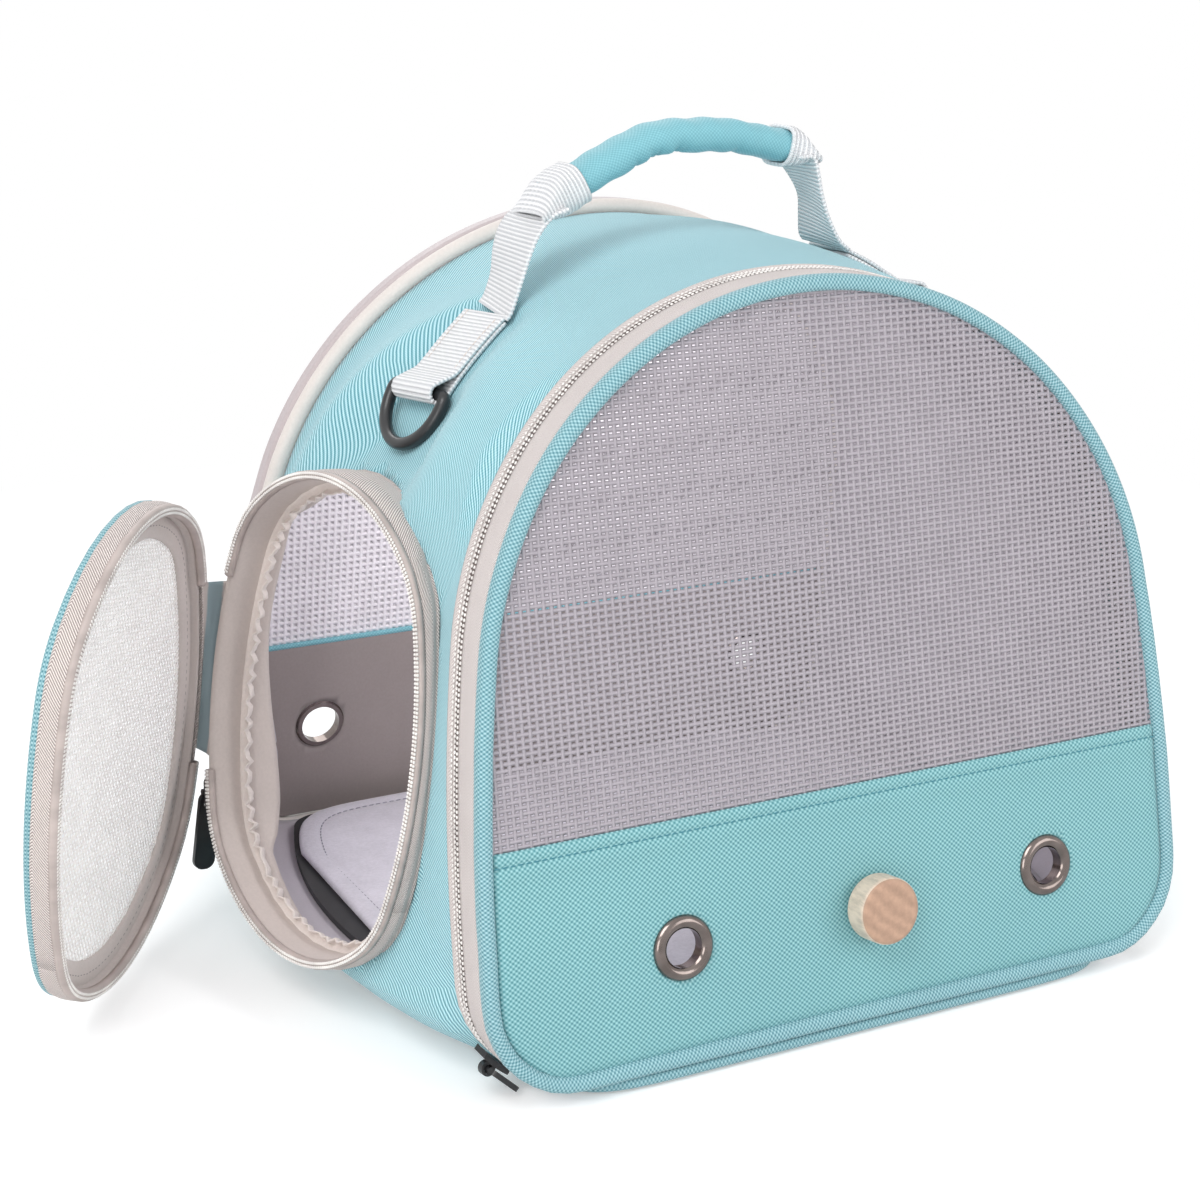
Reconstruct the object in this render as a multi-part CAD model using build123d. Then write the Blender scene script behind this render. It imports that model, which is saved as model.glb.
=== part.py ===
from build123d import *
from math import asin, atan2, cos, degrees, radians, sin
import os

# Soft-sided travel carrier for a small bird. Millimetres, +Z up, X across, -Y to the front.
# The origin lies on the ground, under the middle of the cabin.

# ---------------------------------------------------------------- cabin
cabin_depth = 285.0        # front face to rear seam, along the foot
lean_angle = 9.83          # front and back both lean inwards
base_thickness = 6.0

cabin_width = 312.0        # widest point of the front and back outlines
panel_height = 284.0       # front panel, measured up its own slope
corner_radius = 36.0       # lower corners of the front
front_shoulder = 7.6       # the round top is this much narrower than the sides, each side

left_swell = 7.0           # half-way back the soft sides stand out this far
right_swell = 9.0
middle_height = 283.5
middle_corner = 12.0       # the floor board squares the corners there
middle_shoulder = 8.0

rear_swell = 2.0           # at the rear only the right side stands out
rear_height = 285.5
rear_corner = 30.0
rear_shoulder = 3.0
top_settled = 7.0          # the soft top has settled this far to the right

cloth = 1.0                # outer cloth of the gusset
stiffener = 1.2            # plastic board between the cloth and the lining
lining = 0.8
layer_gap = 0.15           # between the layers of the gusset

# ---------------------------------------------------------------- front panel
binding_width = 5.5
binding_depth = 6.0
zip_tape_width = 12.5
zip_tape_thickness = 1.2
coil_width = 3.6           # one half of the zip's coil
coil_proud = 0.8           # the coil stands above the cloth
coil_height = 2.4
zip_gap = 0.3              # between the two halves of a closed zip
zip_end = 12.0             # the zip stops this far outside the flat foot
band_height = 92.5         # closed lower part of the front and back, up the slope
panel_thickness = 3.0
panel_setback = 1.0        # face of the panel behind the face of its binding
mesh_thickness = 0.9
mesh_setback = 1.2         # the window lies this far behind the face of the band

# ---------------------------------------------------------------- back panel
piping_radius = 4.3
piping_proud = 1.5
rear_binding_radius = 4.4
rear_binding_half_width = 5.0
rear_panel_back = 3.0      # face of the back panel behind the rear seam
rear_panel_edge = 3.2      # the back panel stops this far inside the outline

# ---------------------------------------------------------------- eyelets, knob and perch
eyelet_bore = 14.9
eyelet_flange = 25.0
eyelet_crown = 2.1
eyelet_wall = 0.6
eyelet_pitch = 83.0        # eyelet to knob on the front band
fitting_offset = 7.0       # the knob sits this far right of the middle
fitting_height = 44.5      # knob and eyelets, up the slope
rear_eyelet_bore = 18.0
rear_eyelet_spread = 228.0
rear_eyelet_height = 51.0
knob_diameter = 26.0
knob_thickness = 12.0
knob_rounding = 2.2
stud_diameter = 6.0
stud_clearance = 0.1
stud_in_knob = 8.0
stud_in_perch = 30.0
washer_diameter = 18.0
washer_thickness = 1.2
perch_diameter = 14.0
perch_length = 95.0

# ---------------------------------------------------------------- side door
door_half_width = 76.0
door_half_height = 95.0
door_corner_radius = 48.0
door_side_sweep = 6.0      # how far the long sides swell beyond the corners
door_end_sweep = 8.0       # the same for the top and the bottom
door_proud = 11.9          # middle of the rim, outside the widest point of the side
door_y, door_z = -8.2, 113.9
door_yaw = 9.8             # the rim stands further out towards its hinge
door_lean = 8.8
collar_thickness = 2.0
collar_depth = 40.0        # enough to pass through the cabin wall everywhere
collar_reach = 3.6         # the collar goes through the cabin wall
door_tape_thickness = 1.2
door_coil_depth = 3.8
door_coil_outset = 1.5
door_coil_inset = 2.0
leaf_depth = 10.0          # side wall of the door leaf
leaf_frame_width = 11.0
leaf_frame_thickness = 2.4
leaf_window_thickness = 0.8
leaf_piping_radius = 1.8
leaf_open_angle = 48.6     # the door stands open by this much
leaf_axis = (0.133, -0.057, -0.989)
hinge_strip_height = 75.0
hinge_strip_thickness = 1.0
frill_width = 4.6

# ---------------------------------------------------------------- webbing, rings and handle
webbing_width = 32.0
webbing_thickness = 1.8
strap_y = 9.0              # the handle stands over the middle of the top
anchor_left_reach = 90.27  # from the middle of the top to where the handle leaves the cloth
anchor_right_reach = 63.39
anchor_span = 15.0         # degrees from there to where the webbing turns round the ring
anchor_skew = 6.0          # the sewn webbing runs a little askew
ring_wire = 5.2
ring_play = 1.6            # the ring is this much wider inside than the webbing
ring_corner = 2.8
ring_side = 0.4            # straight part of the ring between corner and bow
cloth_clearance = 1.6      # between webbing or rings and the cloth below
grip_width = 21.0
grip_thickness = 13.0
grip_line = [(-67.0, 13.5), (-15.0, 38.5), (20.0, 38.0), (52.0, 31.5)]  # above the crown
grip_bend = 30.0
wrap_thickness = 1.9
wrap_left = 21.0           # length of the webbing sleeve over each end of the grip
wrap_right = 7.0
strap_left_line = [(-52.0, 9.7), (-64.2, 3.8), (-73.5, -5.0)]  # from the grip, downwards
strap_right_line = [(45.0, 22.7), (52.0, 21.0), (60.0, 11.5)]
strap_left_lift = (6.8, 10.5)   # how a strap stands up off the cloth at its foot
strap_right_lift = (-8.6, 10.1)
strap_bend = 12.0
strap_step = 0.47          # degrees between the sewn end and the foot of the free strap

# ---------------------------------------------------------------- zip sliders and floor
slider_length = 12.0
slider_width = 8.4
slider_thickness = 2.2
slider_play = 0.6          # lets the slider follow the leaning zip round its corner
slider_angle = 44.0        # from straight down, round the lower left corner
door_slider_turn = 14.0    # the door's slider waits this far round the lower rear corner
bail_radius = 2.8
bail_wall = 1.2
bail_width = 3.2
bail_sunk = 0.6            # into the slider
pull_length = 15.0
door_pull_length = 34.0
pull_width = 9.6
pull_thickness = 2.0
pull_arm = 2.0
pull_slot = 6.0
pull_eye_play = 0.35
board_thickness = 3.0
board_margin = 7.0         # front and back, from the end of the gusset
board_side = 11.0          # from the widest point of the side to the edge of the board
board_foot = 2.0           # the ends of the board are this much off the flat foot
base_corner = 9.0
base_rounding = 2.0
base_setback = 2.0         # the bottom panel, from the front and the rear seam
base_side = 4.0            # and from the corner where the side turns under
mat_thickness = 4.0
mat_inset = 1.5            # the mat is a little smaller than the board
floor_corner = 16.0
touch_gap = 0.3            # between pieces that move or lie on each other
bore_depth = 40.0          # a drill goes this far through a panel, half of it each way

# ---------------------------------------------------------------- worked out
lean = radians(lean_angle)
front_y = -cabin_depth / 2
rear_y = cabin_depth / 2
front_foot = cabin_width / 2 - corner_radius
middle_left = cabin_width / 2 + left_swell
middle_right = cabin_width / 2 + right_swell
rear_right = cabin_width / 2 + rear_swell
cabin_top = base_thickness + middle_height
lid_depth = binding_depth + zip_tape_width + coil_width
gusset_start = lid_depth + zip_gap + coil_width
lining_inset = cloth + stiffener + lining + 2 * layer_gap
floor_z = base_thickness + lining_inset
ALONG_Y = Vector(0, 1, 0)


class Arch:
    """Outline of the cabin: flat foot, round corners, nearly straight sides, round top."""

    def __init__(self, left, right, height, corner, top_radius, shift=0.0):
        self.left, self.right, self.height = left, right, height
        self.corner, self.top_radius, self.shift = corner, top_radius, shift
        self.left_turn, self.left_radius = self.side(left + shift)
        self.right_turn, self.right_radius = self.side(right - shift)

    def side(self, reach):
        """Turn (degrees) and radius of a side arc that meets the corner and the top smoothly."""
        rise = self.height - self.corner - self.top_radius
        turn = 2 * atan2(reach - self.top_radius, rise)
        radius = (rise + self.top_radius * sin(turn)) / sin(turn)
        return degrees(turn), radius

    def face(self, inset=0.0):
        corner, top = self.corner - inset, self.top_radius - inset
        right, left = self.right_radius - inset, self.left_radius - inset
        foot_right, foot_left = self.right - self.corner, self.left - self.corner
        a, b, level = self.right_turn, self.left_turn, self.corner
        crown = (self.shift, self.height - self.top_radius)
        return Face(Wire([
            Line((-foot_left, inset), (foot_right, inset)).edge(),
            CenterArc((foot_right, level), corner, -90, 90).edge(),
            CenterArc((self.right - self.right_radius, level), right, 0, a).edge(),
            CenterArc(crown, top, a, 180 - a - b).edge(),
            CenterArc((self.left_radius - self.left, level), left, 180 - b, b).edge(),
            CenterArc((-foot_left, level), corner, 180, 90).edge(),
        ]))

    def ring(self, outer, inner):
        """The strip between two insets, all the way round."""
        return self.face(outer) - self.face(inner)

    def hoop(self, outer, inner):
        """The same strip without the flat foot, as a zip runs."""
        foot = self.left + self.right - 2 * self.corner + 2 * zip_end
        return self.ring(outer, inner) - Rectangle(foot, self.height)

    def below(self, height, inset):
        return self.face(inset) & Pos(0, height / 2) * Rectangle(3 * self.left, height)

    def above(self, height, inset):
        return self.face(inset) - Pos(0, height / 2) * Rectangle(3 * self.left, height)


front_arch = Arch(cabin_width / 2, cabin_width / 2, panel_height, corner_radius,
                  cabin_width / 2 - front_shoulder)
middle_arch = Arch(middle_left, middle_right, middle_height, middle_corner,
                   middle_right - top_settled - middle_shoulder, top_settled)
rear_arch = Arch(cabin_width / 2, rear_right, rear_height, rear_corner,
                 rear_right - top_settled - rear_shoulder, top_settled)
top_centre_x = top_settled
top_centre_z = base_thickness + middle_height - middle_arch.top_radius
anchor_left_start = degrees(asin(anchor_left_reach / middle_arch.top_radius))
anchor_right_start = degrees(asin(anchor_right_reach / middle_arch.top_radius))


def front_plane(behind=0.0):
    """Leaning plane of the front, moved back level with the ground; its Z axis looks forwards."""
    return Plane(origin=(0, front_y + behind, base_thickness), x_dir=(1, 0, 0),
                 z_dir=(0, -cos(lean), sin(lean)))


def rear_plane(behind=0.0):
    """Leaning plane of the rear seam, moved further back; its Z axis looks forwards."""
    return Plane(origin=(0, rear_y + behind, base_thickness), x_dir=(1, 0, 0),
                 z_dir=(0, -cos(lean), -sin(lean)))


MIDDLE = Plane(origin=(0, 0, base_thickness), x_dir=(1, 0, 0), z_dir=(0, -1, 0))


def front_slab(face, near, far):
    """A piece of the front panel, from near to far behind its foremost plane."""
    return extrude(front_plane(near) * face, far - near, dir=ALONG_Y)


def rear_slab(face, near, far):
    """A piece of the back panel, from near to far behind the rear seam."""
    return extrude(rear_plane(near) * face, far - near, dir=ALONG_Y)


def cabin_form(inset):
    """The whole cabin as a solid between the zip and the rear seam, inset by a wall."""
    return loft([
        front_plane(gusset_start) * front_arch.face(inset),
        MIDDLE * middle_arch.face(inset),
        rear_plane() * rear_arch.face(inset),
    ])


# ---------------------------------------------------------------- side door outline
class DoorOutline:
    """Upright oval with four round corners and swelling sides, drawn about its middle."""

    def __init__(self):
        b, h, rc = door_half_width, door_half_height, door_corner_radius
        self.cx = b - rc - door_side_sweep
        self.cy = h - rc - door_end_sweep
        self.side = ((b - self.cx) ** 2 + self.cy ** 2 - rc ** 2) / (2 * door_side_sweep)
        self.end = (self.cx ** 2 + (h - self.cy) ** 2 - rc ** 2) / (2 * door_end_sweep)
        self.side_turn = degrees(asin(self.cy / (self.side - rc)))
        self.end_turn = degrees(asin(self.cx / (self.end - rc)))

    def face(self, inset=0.0):
        side_x = door_half_width - self.side
        end_y = door_half_height - self.end
        a, e = self.side_turn, self.end_turn
        corner = 90 - a - e
        side, end, rc = self.side - inset, self.end - inset, door_corner_radius - inset
        return Face(Wire([
            CenterArc((side_x, 0), side, -a, 2 * a).edge(),
            CenterArc((self.cx, self.cy), rc, a, corner).edge(),
            CenterArc((0, end_y), end, 90 - e, 2 * e).edge(),
            CenterArc((-self.cx, self.cy), rc, 90 + e, corner).edge(),
            CenterArc((-side_x, 0), side, 180 - a, 2 * a).edge(),
            CenterArc((-self.cx, -self.cy), rc, 180 + a, corner).edge(),
            CenterArc((0, -end_y), end, 270 - e, 2 * e).edge(),
            CenterArc((self.cx, -self.cy), rc, 270 + e, corner).edge(),
        ]))

    def ring(self, outer, inner):
        return self.face(outer) - self.face(inner)

    def strip_gap(self):
        """Cuts the zip away where the cloth hinge joins the leaf to the rim."""
        return Pos(-door_half_width, 0) * Rectangle(2 * door_corner_radius, hinge_strip_height + 6)


door = DoorOutline()
yaw, door_tip = radians(door_yaw), radians(door_lean)
DOOR_FORWARD = Vector(sin(yaw), -cos(yaw), 0)
DOOR_OUT = Vector(-cos(yaw) * cos(door_tip), -sin(yaw) * cos(door_tip), sin(door_tip))
RIM = Plane(origin=(-middle_left - door_proud, door_y, door_z), x_dir=DOOR_FORWARD, z_dir=DOOR_OUT)
hinge_point = RIM.from_local_coords(Vector(-door_half_width, 0, 0))
DOOR_AXIS = Axis(hinge_point, Vector(*leaf_axis))


def rim_slab(face, low, high):
    """A piece that follows the door rim, from low to high along the outward direction."""
    return extrude(RIM.offset(low) * face, high - low)


def largest(shape):
    """The piece itself, without the slivers a curved cut leaves."""
    return shape.solids().sort_by(SortBy.VOLUME)[-1]


def leaf_slab(face, low, high):
    """The same for the door leaf, which stands open."""
    return rim_slab(face, low, high).rotate(DOOR_AXIS, leaf_open_angle)


# ---------------------------------------------------------------- gusset
def gusset_layer(outer, inner):
    hole = rim_slab(door.face(-touch_gap), -collar_depth, collar_depth)
    return cabin_form(outer) - cabin_form(inner) - hole


def gusset_cloth():
    return gusset_layer(0, cloth)


def gusset_stiffener():
    outer = cloth + layer_gap
    return gusset_layer(outer, outer + stiffener)


def gusset_lining():
    outer = cloth + stiffener + 2 * layer_gap
    return gusset_layer(outer, outer + lining)


def base_panel():
    """Stiffened bottom that the carrier stands on; its sides swell with the cabin."""
    front = (front_foot - touch_gap, front_y + base_setback)
    middle = (middle_left - middle_corner - base_side, 0)
    back = (front_foot + board_foot, rear_y - base_setback)
    outline = Face(Wire([
        Line((-front[0], front[1]), front).edge(),
        ThreePointArc(front, middle, back).edge(),
        Line(back, (-back[0], back[1])).edge(),
        ThreePointArc((-back[0], back[1]), (-middle[0], middle[1]), (-front[0], front[1])).edge(),
    ]))
    outline = fillet(outline.vertices(), base_corner)
    plate = extrude(outline, base_thickness - touch_gap)
    return fillet(plate.faces().sort_by(Axis.Z)[0].edges(), base_rounding)


def floor_plate(inset, thickness):
    """A board or mat of the cabin floor, its lower face on the ground plane."""
    near = front_y + gusset_start + board_margin + inset
    far = rear_y - board_margin - inset
    front = front_foot - board_foot - inset
    middle = middle_left - board_side - inset
    rear = cabin_width / 2 - rear_corner + board_foot - inset
    outline = Face(Wire([
        Line((-front, near), (front, near)).edge(),
        ThreePointArc((front, near), (middle, (near + far) / 2), (rear, far)).edge(),
        Line((rear, far), (-rear, far)).edge(),
        ThreePointArc((-rear, far), (-middle, (near + far) / 2), (-front, near)).edge(),
    ]))
    return extrude(fillet(outline.vertices(), floor_corner), thickness)


def base_board():
    """Rigid floor board that drops into the cabin."""
    return Pos(0, 0, floor_z + touch_gap) * floor_plate(0, board_thickness)


def floor_mat():
    """Stitched felt mat that lies loose on the board."""
    mat = floor_plate(mat_inset, mat_thickness)
    mat = fillet(mat.faces().sort_by(Axis.Z)[-1].edges(), 1.0)
    return Pos(0, 0, floor_z + board_thickness + 2 * touch_gap) * mat


# ---------------------------------------------------------------- front panel
def fitting_points():
    """Eyelet, knob, eyelet: where the front band is pierced."""
    return [(fitting_offset + k * eyelet_pitch, fitting_height) for k in (-1, 0, 1)]


def pierce(point, radius, plane):
    """A round cutter square to a panel."""
    return plane * Pos(point[0], point[1]) * Cylinder(radius, bore_depth)


def front_lower_band():
    band = front_slab(front_arch.below(band_height, binding_width), panel_setback,
                      panel_setback + panel_thickness)
    left, middle, right = fitting_points()
    for point in (left, right):
        radius = eyelet_bore / 2 + eyelet_wall + stud_clearance
        band -= pierce(point, radius, front_face_plane())
    return band - pierce(middle, stud_diameter / 2 + stud_clearance, front_face_plane())


def front_window_mesh():
    near = panel_setback + mesh_setback
    return front_slab(front_arch.above(band_height, binding_width), near, near + mesh_thickness)


def front_binding():
    return front_slab(front_arch.ring(0, binding_width - layer_gap), 0, binding_depth)


def front_zip_tape():
    return front_slab(front_arch.hoop(0, zip_tape_thickness), binding_depth,
                      binding_depth + zip_tape_width)


def zip_coil(near):
    strip = front_arch.hoop(-coil_proud, coil_height - coil_proud)
    return front_slab(strip, near, near + coil_width)


def front_zip_coil():
    return zip_coil(lid_depth - coil_width)


def gusset_zip_coil():
    return zip_coil(lid_depth + zip_gap)


def eyelet(bore_diameter):
    """Rolled metal eyelet with its washer; the face of the cloth is at Z = 0."""
    grip = panel_thickness * cos(lean)
    bore, rim = bore_diameter / 2, eyelet_flange / 2
    barrel = bore + eyelet_wall
    crest = ((bore + rim) / 2 - 0.6, eyelet_crown)
    section = Wire([
        ThreePointArc((bore, 0.8), crest, (rim, 0)).edge(),
        Line((rim, 0), (barrel, 0)).edge(),
        Line((barrel, 0), (barrel, -grip)).edge(),
        Line((barrel, -grip), (rim - 0.8, -grip)).edge(),
        Line((rim - 0.8, -grip), (rim - 1.6, -grip - 1.0)).edge(),
        Line((rim - 1.6, -grip - 1.0), (bore, -grip - 1.2)).edge(),
        Line((bore, -grip - 1.2), (bore, 0.8)).edge(),
    ])
    return revolve(Plane.XZ * Face(section), Axis.Z)


def front_face_plane():
    return front_plane(panel_setback)


def front_eyelets():
    left, _, right = fitting_points()
    ring = eyelet(eyelet_bore)
    return Compound([front_face_plane() * Pos(x, v, 0) * ring for x, v in (left, right)])


def knob_place(height):
    """On the knob's axis, at a height above the face of the band."""
    _, (x, v), _ = fitting_points()
    return front_face_plane() * Pos(x, v, height)


def perch_knob():
    body = Cylinder(knob_diameter / 2, knob_thickness,
                    align=(Align.CENTER, Align.CENTER, Align.MIN))
    body = fillet(body.edges().filter_by(GeomType.CIRCLE), knob_rounding)
    bore = Cylinder(stud_diameter / 2 + stud_clearance, stud_in_knob + 0.5,
                    align=(Align.CENTER, Align.CENTER, Align.MIN))
    return knob_place(washer_thickness + touch_gap) * (body - bore)


def perch_stud():
    """Double-ended screw between the knob and the perch."""
    outside = washer_thickness + touch_gap + stud_in_knob
    inside = panel_thickness + washer_thickness + stud_in_perch
    stud = Cylinder(stud_diameter / 2, outside + inside,
                    align=(Align.CENTER, Align.CENTER, Align.MIN))
    return knob_place(-inside) * chamfer(stud.edges().filter_by(GeomType.CIRCLE), 0.6)


def perch_washers():
    """One washer on each face of the band."""
    washer = Cylinder(washer_diameter / 2, washer_thickness,
                      align=(Align.CENTER, Align.CENTER, Align.MIN))
    washer -= Cylinder(stud_diameter / 2 + 2 * stud_clearance, 3 * washer_thickness)
    inner = -panel_thickness * cos(lean) - washer_thickness - layer_gap
    return Compound([knob_place(0) * washer, knob_place(inner) * washer])


def perch():
    """Round wooden dowel that the bird stands on."""
    start = -panel_thickness - washer_thickness - touch_gap
    rod = Cylinder(perch_diameter / 2, perch_length,
                   align=(Align.CENTER, Align.CENTER, Align.MAX))
    rod = fillet(rod.faces().sort_by(Axis.Z)[0].edges(), 2.5)
    bore = Cylinder(stud_diameter / 2 + stud_clearance, stud_in_perch + 1,
                    align=(Align.CENTER, Align.CENTER, Align.MAX))
    return knob_place(start) * (rod - bore)


# ---------------------------------------------------------------- back
def rear_eyelet_points():
    return [(k * rear_eyelet_spread / 2, rear_eyelet_height) for k in (-1, 1)]


def rear_face_plane():
    """Face of the back panel, looking backwards."""
    far = rear_plane(rear_panel_back + panel_thickness)
    return Plane(origin=far.origin, x_dir=(-1, 0, 0), z_dir=-far.z_dir)


def back_lower_band():
    band = rear_slab(rear_arch.below(band_height, rear_panel_edge), rear_panel_back,
                     rear_panel_back + panel_thickness)
    for point in rear_eyelet_points():
        radius = rear_eyelet_bore / 2 + eyelet_wall + stud_clearance
        band -= pierce(point, radius, rear_face_plane())
    return band


def back_window_mesh():
    near = rear_panel_back + mesh_setback
    return rear_slab(rear_arch.above(band_height, rear_panel_edge), near, near + mesh_thickness)


def back_eyelets():
    ring = eyelet(rear_eyelet_bore)
    return Compound([rear_face_plane() * Pos(x, v, 0) * ring for x, v in rear_eyelet_points()])


def rear_tube(section, behind, inset):
    """A piping that follows the back outline."""
    path = rear_plane(behind) * rear_arch.face(inset).outer_wire()
    start = Plane(origin=path @ 0, x_dir=(0, 1, 0), z_dir=path % 0)
    return sweep(start * section, path=path)


def back_piping():
    return rear_tube(Circle(piping_radius), piping_radius + layer_gap, -piping_proud)


def back_binding():
    behind = 2 * piping_radius + 3 * layer_gap + rear_binding_half_width
    section = Ellipse(rear_binding_half_width, rear_binding_radius)
    return rear_tube(section, behind, -piping_proud)


# ---------------------------------------------------------------- side door
def door_collar():
    """Lined cloth collar round the doorway, from the zip into the wall."""
    tube = rim_slab(door.ring(0, collar_thickness), -collar_depth, -door_coil_depth)
    return largest(tube - cabin_form(collar_reach))


def door_collar_tape():
    """Herringbone zip tape on the outside of the collar."""
    tube = rim_slab(door.ring(-touch_gap - door_tape_thickness, -touch_gap), -collar_depth,
                    -door_coil_depth)
    return largest(tube - cabin_form(-touch_gap) - rim_slab(door.strip_gap(), -collar_depth, 0))


def door_collar_coil():
    ring = door.ring(-door_coil_outset, door_coil_inset) - door.strip_gap()
    return rim_slab(ring, -door_coil_depth, -layer_gap)


def door_frill():
    """Gathered elastic edge inside the doorway."""
    inner = collar_thickness + layer_gap
    tube = rim_slab(door.ring(inner, inner + frill_width), -collar_depth, 0)
    return largest(tube & (cabin_form(0.5) - cabin_form(collar_reach + 1)))


def leaf_coil():
    ring = door.ring(-door_coil_outset, door_coil_inset) - door.strip_gap()
    return leaf_slab(ring, layer_gap, door_coil_depth)


def leaf_tape():
    """Side wall of the leaf, herringbone zip tape."""
    ring = door.ring(-touch_gap - door_tape_thickness, -touch_gap)
    return leaf_slab(ring, door_coil_depth, leaf_depth)


def leaf_frame():
    """Bound frame round the window of the leaf."""
    ring = door.ring(0, leaf_frame_width)
    return leaf_slab(ring, leaf_depth - leaf_frame_thickness, leaf_depth)


def leaf_window():
    low = leaf_depth - leaf_frame_thickness / 2 - leaf_window_thickness / 2
    return leaf_slab(door.face(leaf_frame_width + layer_gap), low, low + leaf_window_thickness)


def leaf_piping():
    """Teal piping round the outer edge of the leaf."""
    plane = RIM.offset(leaf_depth + leaf_piping_radius)
    outline = door.face(-touch_gap).outer_wire()
    path = plane * outline
    start = Plane(origin=path @ 0, z_dir=path % 0)
    tube = sweep(start * Circle(leaf_piping_radius), path=path)
    return tube.rotate(DOOR_AXIS, leaf_open_angle)


def door_hinge_strip():
    """Cloth strip that carries the leaf on the rear edge of the rim."""
    reach = door_coil_depth + 2.5
    on_collar = door_half_width + touch_gap + hinge_strip_thickness / 2
    on_tape = on_collar + touch_gap + door_tape_thickness
    section = Rectangle(hinge_strip_thickness, hinge_strip_height)
    near = RIM.offset(-reach) * Pos(-on_collar, 0) * section
    far = (RIM.offset(reach) * Pos(-on_tape, 0) * section).rotate(DOOR_AXIS, leaf_open_angle)
    return loft([near, far], ruled=True)


# ---------------------------------------------------------------- zip sliders
def bail(place):
    """Loop on a slider for its pull: at the origin of the place, its hole along Z."""
    loop = Circle(bail_radius) - Circle(bail_radius - bail_wall)
    return extrude(place * loop, bail_width / 2, both=True)


def pull_tab(place, length):
    """Moulded pull that hangs from a bail along X and turns about Z of the place."""
    outline = Pos(length / 2, 0) * RectangleRounded(length, pull_width, pull_width / 2 - 0.6)
    slot = Rectangle(2 * pull_slot, pull_width - 2 * pull_arm)
    tab = extrude(Plane(place.origin, x_dir=place.x_dir, z_dir=place.y_dir) * (outline - slot),
                  pull_thickness / 2, both=True)
    pin = Circle(bail_radius - bail_wall - pull_eye_play)
    return tab + extrude(place * pin, pull_width / 2 - pull_arm / 2, both=True)


def zip_corner(x, y):
    """A point on the plane of the front zip, from the centre of its lower left corner."""
    zip_plane = front_plane(lid_depth + zip_gap / 2)
    return zip_plane.from_local_coords(Vector(x - front_foot, y + corner_radius, 0))


def front_bail():
    """Where the front pull hangs: X along the zip towards the foot, Y away from the cloth."""
    a = radians(slider_angle)
    reach = corner_radius + coil_proud + slider_play + slider_thickness + bail_radius - bail_sunk
    origin = zip_corner(-reach * sin(a), -reach * cos(a))
    along = zip_corner(cos(a), -sin(a)) - zip_corner(0, 0)
    return Plane(origin=origin, x_dir=along, z_dir=-front_plane().z_dir)


def front_slider():
    """Upper wing of the zip slider, bent to the corner, with the bail for its pull."""
    inner = corner_radius + coil_proud + slider_play
    outer = inner + slider_thickness
    side = 2 * outer * sin(slider_length / 2 / outer)
    ring = Circle(outer) - Circle(inner)
    wing = Rot(0, 0, -90 - slider_angle) * (ring & Pos(outer, 0) * Rectangle(outer, side))
    zip_plane = front_plane(lid_depth + zip_gap / 2)
    profile = zip_plane * Pos(-front_foot, corner_radius) * wing
    return extrude(profile, slider_width / 2, dir=ALONG_Y, both=True) + bail(front_bail())


def front_pull():
    return pull_tab(front_bail(), pull_length)


def door_bail():
    """Where the door's pull hangs, on the lower rear corner of the rim."""
    turn = radians(door_slider_turn)
    reach = (door_corner_radius + door_coil_outset + touch_gap + slider_thickness
             + bail_radius - bail_sunk)
    x = -door.cx - reach * cos(turn)
    y = -door.cy - reach * sin(turn)
    return RIM * Pos(x, y, -slider_width / 2 - 5 * touch_gap)


def door_slider():
    """Zip slider parked at the end of the door's zip, below the cloth hinge."""
    across = bail_radius - bail_sunk + slider_thickness / 2
    wing = Pos(across, 0, 0) * Box(slider_thickness, slider_length, slider_width)
    wing = fillet(wing.edges().filter_by(Axis.X), 2.0)
    place = door_bail() * Rot(0, 0, door_slider_turn)
    return place * wing + bail(Plane(place))


def door_pull():
    place = Plane(door_bail())
    down = Vector(0, 0, -1)
    down = down - place.z_dir * down.dot(place.z_dir)
    return pull_tab(Plane(origin=place.origin, x_dir=down, z_dir=place.z_dir), door_pull_length)


# ---------------------------------------------------------------- webbing and rings
def arch_point(angle, above):
    """A point over the top of the arch, angle from the top towards the left."""
    r = middle_arch.top_radius + above
    a = radians(angle)
    return Vector(top_centre_x - r * sin(a), strap_y, top_centre_z + r * cos(a))


def arch_frame(angle, above):
    """Frame on the arch: X down the slope to the left, Z away from the cloth, turned askew."""
    a = radians(angle)
    place = Plane(origin=arch_point(angle, above), x_dir=(-cos(a), 0, -sin(a)),
                  z_dir=(-sin(a), 0, cos(a)))
    return place.rotated((0, 0, anchor_skew))


bar_height = cloth_clearance + webbing_thickness + ring_wire / 2 + touch_gap
loop_inner = ring_wire / 2 + touch_gap
loop_outer = loop_inner + webbing_thickness


def bar_frame(start):
    """Frame of the ring's bar: Y runs along the bar."""
    span = middle_arch.top_radius * radians(anchor_span) / 2
    across = span * sin(radians(anchor_skew))
    frame = arch_frame(start + anchor_span, bar_height)
    return Plane(origin=frame.origin + Vector(0, -across, 0), x_dir=frame.x_dir,
                 z_dir=frame.z_dir)


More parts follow.
